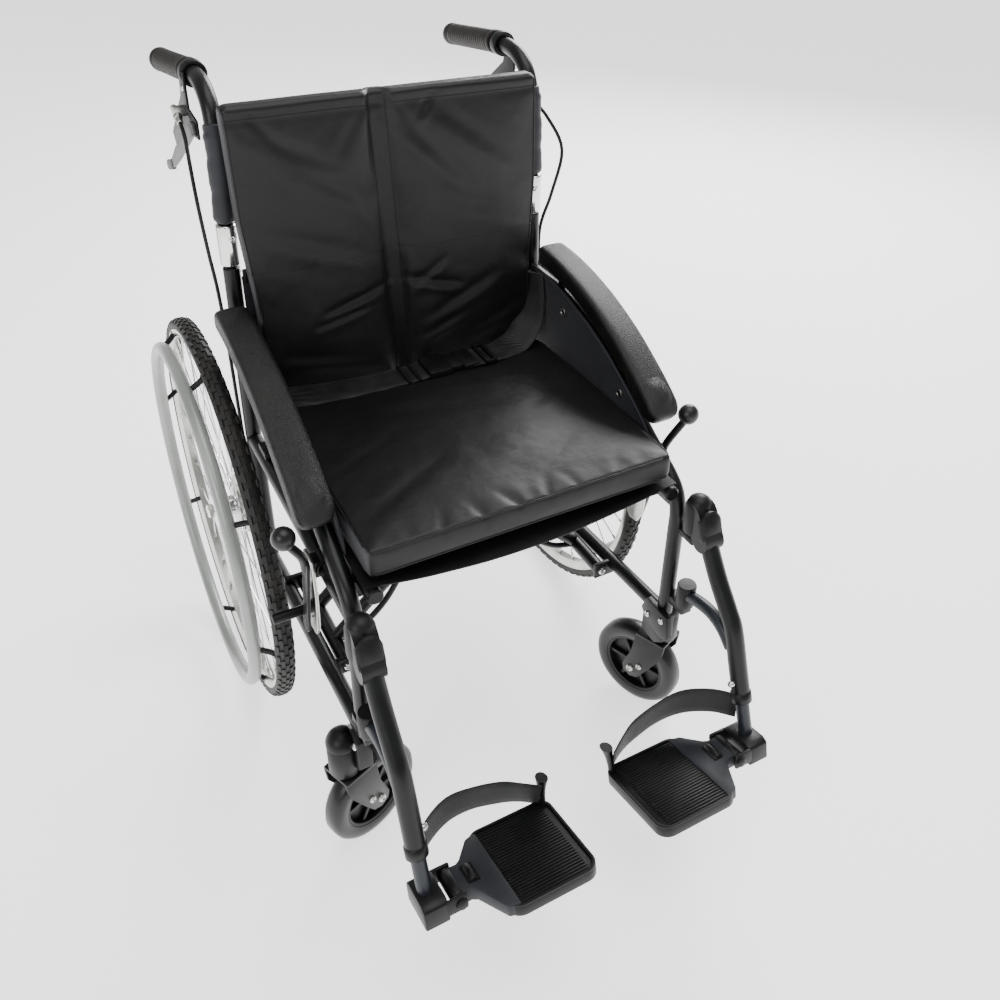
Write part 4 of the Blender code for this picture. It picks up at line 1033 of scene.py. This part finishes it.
def brake_cable(side, s):
    bow = 0.034 if side == "left" else 0.004
    route = [(s * 0.2520, 0.0445, 0.8876), (s * 0.2535, 0.020, 0.874), (s * (0.2560 + 0.4 * bow), -0.006, 0.848),
             (s * (0.2545 + bow), -0.020, 0.800), (s * (0.2530 + 0.55 * bow), -0.022, 0.735),
             (s * 0.2515, -0.024, 0.680), (s * 0.2500, -0.028, 0.600), (s * 0.2500, -0.030, 0.480),
             (s * 0.2505, -0.034, 0.400), (s * 0.2530, -0.040, 0.3495)]
    kit = Kit()
    kit.tube(route, 0.0026, 12, 6)
    cable = kit.make(f"{side}_cable_housing", "plastic", None, "plastic", angle=60)
    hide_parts(f"{side}_brake_cable")
    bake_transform(cable)
    pts = curve(route, 6)
    return sum((b - a).length for a, b in zip(pts, pts[1:]))


def release_tab(side, s):
    kit = Kit()
    kit.box((s * 0.2110, -0.043, 0.690), (s * 0.2188, -0.037, 0.710))
    kit.make(f"{side}_release_button", "plastic", f"{side}_back_release", "plastic", [f"{side}_back_release"],
             bevel=0.0014)


# ---------------------------------------------------------------- soft parts

def soft_box(name, low, high, cell=0.006, round_by=0.010):
    """A closed box of small faces, its edges rounded."""
    shape = bmesh.new()
    bmesh.ops.create_cube(shape, size=1.0)
    mesh = bpy.data.meshes.new(name)
    shape.to_mesh(mesh)
    shape.free()
    size = Vector(high) - Vector(low)
    for v in mesh.vertices:
        v.co = Vector([low[i] + (v.co[i] + 0.5) * size[i] for i in range(3)])
        v.co.y += AXLE_Y
    obj = bpy.data.objects.new(name, mesh)
    bpy.context.collection.objects.link(obj)
    step = obj.modifiers.new("round", "BEVEL")
    step.width = round_by
    step.segments = 4
    bake(obj)
    step = obj.modifiers.new("cells", "REMESH")
    step.mode = "VOXEL"
    step.voxel_size = cell
    bake(obj)
    return obj


def inflate(obj, pressure=4.0, cap=0.010, pins=None, frames_run=20, stiffness=12.0, shrink=0.0):
    """Swells a closed cloth shell, with some points held, then keeps the result."""
    before = [v.co.copy() for v in obj.data.vertices]
    step = obj.modifiers.new("cloth", "CLOTH")
    settings = step.settings
    settings.quality = 6
    settings.mass = 0.15
    settings.tension_stiffness = stiffness
    settings.compression_stiffness = stiffness
    settings.shear_stiffness = stiffness * 0.6
    settings.bending_stiffness = 0.4
    settings.air_damping = 2.0
    settings.use_pressure = True
    settings.uniform_pressure_force = pressure
    settings.shrink_min = shrink
    settings.effector_weights.gravity = 0.0
    step.collision_settings.use_collision = False
    step.point_cache.frame_start = 1
    step.point_cache.frame_end = frames_run
    if pins is not None:
        group = obj.vertex_groups.new(name="held")
        for v in obj.data.vertices:
            weight = pins(v.co)
            if weight > 0:
                group.add([v.index], weight, "REPLACE")
        settings.vertex_group_mass = "held"
    scene = bpy.context.scene
    for number in range(1, frames_run + 1):
        scene.frame_set(number)
    bake(obj)
    scene.frame_set(1)
    for v, old in zip(obj.data.vertices, before):
        move = v.co - old
        if move.length > cap:
            v.co = old + move.normalized() * cap
    obj.vertex_groups.clear()
    return obj


def crease(p, a, b, width):
    """1 on the line from a to b, fading to 0 at about twice the width."""
    a, b = Vector(a), Vector(b)
    t = max(0.0, min(1.0, (p - a).dot(b - a) / (b - a).length_squared))
    d = (p - (a + t * (b - a))).length / width
    fade = math.sin(math.pi * min(1.0, max(0.0, 0.12 + 0.76 * t)))
    return math.exp(-d * d) * fade


def finish_cloth(obj, finish, subdivide=1):
    if subdivide:
        step = obj.modifiers.new("fine", "SUBSURF")
        step.levels = step.render_levels = subdivide
        bake(obj)
    obj.data.materials.clear()
    obj.data.materials.append(LOOKS[finish])
    obj.data.shade_smooth()


def over(obj):
    """A tree for finding the nearest point of a piece's surface."""
    shape = bmesh.new()
    shape.from_mesh(obj.data)
    tree = BVHTree.FromBMesh(shape)
    shape.free()
    return tree


def seat_cushion():
    low, high = (-0.214, -0.4565, 0.4890), (0.214, -0.0925, 0.5300)
    cushion = soft_box("seat_cushion_cover", low, high, 0.006, 0.007)

    def pins(co):
        y = co.y - AXLE_Y
        if co.z < 0.4905:
            return 1.0
        edge = min(co.x - low[0], high[0] - co.x, y - low[1], high[1] - y)
        if co.z > 0.524 and edge < 0.006:
            return 0.85
        return 0.0

    inflate(cushion, 4.0, 0.0080, pins)
    for v in cushion.data.vertices:
        x, y, z = v.co.x, v.co.y - AXLE_Y, v.co.z
        inside = min(x - low[0], high[0] - x, y - low[1], high[1] - y)
        if z > 0.51:
            rise = min(1.0, max(0.0, inside) / 0.05)
            n1 = noise.noise((x * 7.0, y * 9.0, 1.3))
            n2 = noise.noise((x * 21.0 + 4, y * 15.0, 5.1))
            v.co.z += 0.0016 * rise * n1 + 0.0006 * rise * n2
            p = Vector((x, y, 0))
            front = max(0.0, 1 - (y - low[1]) / 0.042)
            v.co.z -= 0.0012 * front * (0.5 + 0.5 * math.sin(x * 150 + 2 * math.sin(x * 40)))
            for at, lean, deep in ((-0.118, 0.3, 0.0030), (-0.062, -0.2, 0.0040), (-0.012, -0.5, 0.0050),
                                   (0.024, 0.4, 0.0046), (0.071, -0.3, 0.0026), (0.128, 0.5, 0.0022)):
                off = (x - at - lean * (y - low[1])) / (0.0035 + 0.10 * max(0.0, y - low[1]))
                v.co.z -= deep * front * math.exp(-off * off)
            for a, b, w, d in (((-0.19, -0.40, 0), (-0.06, -0.33, 0), 0.010, 0.0020),
                               ((0.02, -0.42, 0), (0.13, -0.35, 0), 0.012, 0.0018),
                               ((-0.12, -0.20, 0), (0.05, -0.24, 0), 0.016, 0.0016),
                               ((0.10, -0.28, 0), (0.20, -0.22, 0), 0.010, 0.0016),
                               ((-0.20, -0.30, 0), (-0.10, -0.26, 0), 0.010, 0.0014)):
                v.co.z -= d * crease(p, a, b, w)
    finish_cloth(cushion, "nylon")
    # painted sheen: faces turned to either side get the lighter nylon in place of the sheen on the side boxing
    cushion.data.materials.append(LOOKS["hem_painted_sheen"])
    for face in cushion.data.polygons:
        if abs(face.normal.x) > 0.75:
            face.material_index = 1
    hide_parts("seat_cushion")
    tree = over(cushion)
    seam = Kit()
    for z in (0.5275, 0.4925):
        pts = []
        corner = 0.010
        x0, x1, y0, y1 = low[0], high[0], low[1], high[1]
        steps = 44
        for k in range(steps):
            pts.append((x0 + corner + (x1 - x0 - 2 * corner) * k / steps, y0, z))
        for k in range(steps):
            pts.append((x1, y0 + corner + (y1 - y0 - 2 * corner) * k / steps, z))
        for k in range(steps):
            pts.append((x1 - corner - (x1 - x0 - 2 * corner) * k / steps, y1, z))
        for k in range(steps):
            pts.append((x0, y1 - corner - (y1 - y0 - 2 * corner) * k / steps, z))
        found = []
        for x, y, zz in pts:
            hit = tree.find_nearest(Vector((x, y + AXLE_Y, zz)))
            p = hit[0] + hit[1] * 0.0002
            found.append(Vector((p.x, p.y - AXLE_Y, p.z)))
        seam.tube(found, 0.0014, 8, 1, closed=True)
    seam = seam.make("seat_cushion_piping", "nylon", None, "nylon", angle=70)
    for piece in (cushion, seam):
        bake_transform(piece)
    return cushion


def seat_sling():
    kit = Kit()
    cols, rows = 40, 16
    n = (cols + 1) * (rows + 1)
    verts = []
    for face in (0, 1):
        for i in range(cols + 1):
            x = -0.2215 + 0.443 * i / cols
            for j in range(rows + 1):
                y = -0.4600 + 0.364 * j / rows
                u = abs(x) / 0.2215
                z = 0.4842 - 0.010 * (1 - u ** 2.2) + 0.0012 * noise.noise((x * 16, y * 12, 2.0))
                if u > 0.93:
                    z -= 0.20 * (abs(x) - 0.206)
                front = max(0.0, 1 - (y + 0.46) / 0.05)
                z -= 0.016 * front * (1 - u ** 2)
                verts.append((x, y, z + 0.0016 * face))
    w = rows + 1
    faces = []
    for i in range(cols):
        for j in range(rows):
            a = i * w + j
            faces += [(a, a + w, a + w + 1, a + 1), (n + a, n + a + 1, n + a + w + 1, n + a + w)]
    edge = [i * w for i in range(cols + 1)] + [cols * w + j for j in range(1, w)]
    edge += [i * w + rows for i in range(cols - 1, -1, -1)] + [j for j in range(rows - 1, 0, -1)]
    faces += [(a, n + a, n + b, b) for a, b in zip(edge, edge[1:] + edge[:1])]
    kit.add(verts, faces)
    sling = kit.make("seat_sling_cloth", "nylon", None, "nylon", ["seat_sling"], angle=60)
    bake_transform(sling)


PAD_CUT = 0.7162
PAD_Z = (0.5010, 0.9350)


def pad_middle(z):
    """Middle of the back pad and of its channel, which both lean to one side towards the top."""
    t = (z - PAD_Z[0]) / (PAD_Z[1] - PAD_Z[0])
    return -0.009 * t, -0.004 - 0.022 * t


def pad_half(z):
    t = (z - PAD_Z[0]) / (PAD_Z[1] - PAD_Z[0])
    return 0.2085 + 0.0090 * min(1.0, max(0.0, (t - 0.36) / 0.3))


def back_pads():
    """One tall pad with a sewn channel down its middle, swollen and creased, then cut where the back folds."""
    z0, z1 = PAD_Z
    pad = soft_box("back_upper_cover", (-0.2, -0.0765, z0), (0.2, -0.0470, z1), 0.0055, 0.0065)
    for v in pad.data.vertices:
        v.co.x = pad_middle(v.co.z)[0] + v.co.x / 0.2 * pad_half(v.co.z)
        y = v.co.y - AXLE_Y
        if y < -0.060:
            x, z = v.co.x, v.co.z
            off = abs(x - pad_middle(z)[1])
            v.co.y += 0.0105 * max(0.0, min(1.0, (0.0165 - off) / 0.005))
            v.co.y += 0.0030 * math.exp(-((z - 0.918) / 0.004) ** 2)

    def pins(co):
        y, off = co.y - AXLE_Y, abs(co.x - pad_middle(co.z)[1])
        if y > -0.0485 or off < 0.012:
            return 1.0
        edge = pad_half(co.z) - abs(co.x - pad_middle(co.z)[0])
        if edge < 0.004 or min(co.z - z0, z1 - co.z) < 0.006:
            return 0.9
        if abs(co.z - 0.918) < 0.003:
            return 0.7
        return 0.0

    inflate(pad, 4.0, 0.0070, pins)
    creases = (
        ((-0.205, 0, 0.905), (-0.09, 0, 0.845), 0.010, 0.0026), ((-0.17, 0, 0.875), (-0.05, 0, 0.79), 0.012, 0.0022),
        ((-0.01, 0, 0.905), (0.10, 0, 0.80), 0.011, 0.0030), ((0.03, 0, 0.925), (0.16, 0, 0.83), 0.012, 0.0022),
        ((0.05, 0, 0.79), (0.19, 0, 0.74), 0.014, 0.0018), ((-0.19, 0, 0.77), (-0.06, 0, 0.72), 0.012, 0.0018),
        ((-0.120, 0, 0.640), (-0.022, 0, 0.668), 0.0055, 0.0040), ((-0.135, 0, 0.622), (-0.06, 0, 0.640), 0.005, 0.0030),
        ((0.005, 0, 0.668), (0.085, 0, 0.645), 0.006, 0.0044), ((0.010, 0, 0.652), (0.06, 0, 0.690), 0.006, 0.0034),
        ((0.030, 0, 0.600), (0.15, 0, 0.655), 0.009, 0.0030), ((0.02, 0, 0.570), (0.09, 0, 0.600), 0.007, 0.0030),
        ((-0.18, 0, 0.585), (-0.05, 0, 0.560), 0.010, 0.0020), ((0.10, 0, 0.565), (0.20, 0, 0.600), 0.009, 0.0022),
        ((0.055, 0, 0.928), (0.030, 0, 0.895), 0.005, 0.0036), ((-0.200, 0, 0.925), (-0.165, 0, 0.885), 0.006, 0.0030),
    )
    for v in pad.data.vertices:
        y = v.co.y - AXLE_Y
        if y > -0.055:
            continue
        p = Vector((v.co.x, 0, v.co.z))
        for a, b, w, d in creases:
            v.co.y += d * (crease(p, a, b, w) - 0.75 * crease(p + Vector((0, 0, 1.6 * w)), a, b, w))
        edge = pad_half(v.co.z) - abs(v.co.x - pad_middle(v.co.z)[0])
        v.co.y += 0.0013 * noise.noise((v.co.x * 14, v.co.z * 11, 9.0)) * min(1.0, max(0.0, edge / 0.02))
    finish_cloth(pad, "nylon")
    # painted sheen: faces turned to either side get the lighter nylon in place of the sheen on the pad's sides
    pad.data.materials.append(LOOKS["hem_painted_sheen"])
    for face in pad.data.polygons:
        if abs(face.normal.x) > 0.80 and face.center.y - AXLE_Y < -0.049:
            face.material_index = 1
    tree = over(pad)
    lower = pad.copy()
    lower.data = pad.data.copy()
    lower.name = "back_lower_cover"
    bpy.context.collection.objects.link(lower)
    for piece, which, keep_above in ((pad, "upper", True), (lower, "lower", False)):
        shape = bmesh.new()
        shape.from_mesh(piece.data)
        height = PAD_CUT + (0.0001 if keep_above else -0.0001)
        cut = bmesh.ops.bisect_plane(shape, geom=shape.verts[:] + shape.edges[:] + shape.faces[:],
                                     plane_co=(0, 0, height), plane_no=(0, 0, 1), clear_outer=not keep_above,
                                     clear_inner=keep_above)
        rim = [e for e in cut["geom_cut"] if isinstance(e, bmesh.types.BMEdge)]
        bmesh.ops.holes_fill(shape, edges=rim, sides=0)
        bmesh.ops.recalc_face_normals(shape, faces=shape.faces)
        shape.to_mesh(piece.data)
        shape.free()
        piece.data.set_sharp_from_angle(angle=math.radians(70))
        body = "left_back" if which == "upper" else "left_frame"
        dress(piece, body, [f"back_pad_{which}"])
        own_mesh(piece)

    def on(x, z, lift=0.0002):
        hit = tree.ray_cast(Vector((x, -0.095 + AXLE_Y, z)), Vector((0, 1, 0)))
        if hit[0] is None:
            hit = tree.find_nearest(Vector((x, -0.0765 + AXLE_Y, z)))
        return Vector((hit[0].x, hit[0].y - AXLE_Y - lift, hit[0].z))

    for which, low, high in (("upper", PAD_CUT + 0.001, z1 - 0.007), ("lower", z0 + 0.007, PAD_CUT - 0.001)):
        seam = Kit()
        levels = [low + (high - low) * k / 44 for k in range(45)]
        for way in (-1, 1):
            seam.tube([on(pad_middle(z)[0] + way * (pad_half(z) - 0.0035), z) for z in levels], 0.0013, 8, 1)
            seam.tube([on(pad_middle(z)[1] + way * 0.0115, z) for z in levels], 0.0007, 6, 1)
        if which == "upper":
            for x_start, x_end in ((-0.222, -0.040), (-0.008, 0.204)):
                seam.tube([on(x_start + (x_end - x_start) * k / 40, 0.918) for k in range(41)], 0.0006, 6, 1)
        body = "left_back" if which == "upper" else "left_frame"
        seam = seam.make(f"back_{which}_seams", "nylon", body, "nylon", angle=70)
        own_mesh(seam)


def back_sling():
    """The upholstery behind the pads: one cloth above the fold, one below, each from post to post."""
    for which, z0, z1 in (("upper", 0.780, 0.904), ("lower", 0.500, 0.7000)):
        kit = Kit()
        cols, rows = 36, 12
        n = (cols + 1) * (rows + 1)
        verts = []
        edge_x = 0.2195 if which == "upper" else 0.2205
        for face in (0, 1):
            for i in range(cols + 1):
                x = -edge_x + 2 * edge_x * i / cols
                for j in range(rows + 1):
                    z = z0 + (z1 - z0) * j / rows
                    u = abs(x) / edge_x
                    y = -0.0405 + 0.006 * (1 - u ** 3) + 0.001 * noise.noise((x * 13, z * 15, 4.0))
                    if u > 0.95:
                        y += 0.02 * (u - 0.95)
                    verts.append((x, y + 0.0014 * face, z))
        w = rows + 1
        faces = []
        for i in range(cols):
            for j in range(rows):
                a = i * w + j
                faces += [(a, a + 1, a + w + 1, a + w), (n + a, n + a + w, n + a + w + 1, n + a + 1)]
        edge = [i * w for i in range(cols + 1)] + [cols * w + j for j in range(1, w)]
        edge += [i * w + rows for i in range(cols - 1, -1, -1)] + [j for j in range(rows - 1, 0, -1)]
        faces += [(a, b, n + b, n + a) for a, b in zip(edge, edge[1:] + edge[:1])]
        kit.add(verts, faces)
        # the slings take the lighter nylon, a painted sheen
        cloth = kit.make(f"back_{which}_sling", "hem_painted_sheen", "left_back" if which == "upper" else "left_frame", "nylon",
                         angle=60)
        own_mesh(cloth)


def lap_belt(cushion):
    tree = over(cushion)

    def on(x, y, lift):
        hit = tree.ray_cast(Vector((x, y + AXLE_Y, 0.60)), Vector((0, 0, -1)))
        z = hit[0].z if hit[0] is not None else 0.531
        return (x, y, z + lift)

    route = [on(-0.205, -0.100, 0.004), on(-0.165, -0.108, 0.004), on(-0.12, -0.114, 0.0032), on(-0.07, -0.118, 0.0030),
             on(-0.02, -0.121, 0.0045), on(0.020, -0.123, 0.008)]
    up = [(0, 1, 0.22), (0, 1, 0.12), (0, 1, 0.05), (0, 1, 0), (0, 1, 0), (0, 1, 0)]
    first, length_a = strap_mesh("belt_webbing_right", route, up, 0.048, 0.0022, "webbing", "webbing")
    route = [on(0.075, -0.124, 0.008), on(0.105, -0.122, 0.006), on(0.140, -0.116, 0.006), on(0.172, -0.106, 0.012)]
    route += [(0.197, -0.092, 0.566), (0.208, -0.082, 0.600), (0.2105, -0.074, 0.634)]
    up = [(0, 1, 0), (0, 1, 0), (0, 1, 0.1), (0, 1, 0.35), (-0.1, 0.9, 0.6), (-0.2, 0.9, 0.4), (-0.2, 0.9, 0.35)]
    second, length_b = strap_mesh("belt_webbing_left", route, up, 0.048, 0.0022, "webbing", "webbing")
    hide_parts("lap_belt")
    buckle = Kit()
    middle = on(0.045, -0.123, 0.008)
    z = middle[2]
    buckle.box((0.004, -0.148, z - 0.005), (0.040, -0.098, z + 0.006))
    buckle.box((0.040, -0.143, z - 0.004), (0.060, -0.103, z + 0.005))
    buckle.box((0.060, -0.147, z - 0.004), (0.084, -0.099, z + 0.004))
    for x in (0.094, 0.108):
        buckle.box((x, -0.149, z - 0.003), (x + 0.005, -0.097, z + 0.005))
    for y in (-0.149, -0.099):
        buckle.box((0.094, y, z - 0.003), (0.113, y + 0.004, z + 0.004))
    for x in (-0.030, -0.014):
        buckle.box((x, -0.147, z - 0.008), (x + 0.005, -0.097, z + 0.001))
    buckle = buckle.make("belt_buckle", "plastic", None, "plastic", bevel=0.0016)
    for piece in (first, second, buckle):
        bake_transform(piece)


# ---------------------------------------------------------------- assembly

def build():
    place_camera()
    studio()
    for side, s in SIDES.items():
        side_frame(side, s)
        arm_pad(side, s)
        side_panel(side, s)
        rear_wheel(side, s)
        drum_and_axle(side, s)
        caster(side, s)
        leg_rest(side, s)
        footplate(side, s)
        heel_strap(side, s)
        parking_brake(side, s)
        back_post(side, s)
        push_grip(side, s)
        attendant_brake(side, s)
        print(side, "cable length", round(brake_cable(side, s), 3))
        release_tab(side, s)
    brace_arm("brace_arm_a", "brace_a", 1.0, (-0.240, -0.165))
    brace_arm("brace_arm_b", "brace_b", -1.0, (-0.265, -0.190))
    brace_bolt()
    seat_sling()
    cushion = seat_cushion()
    lap_belt(cushion)
    back_pads()
    back_sling()


build()
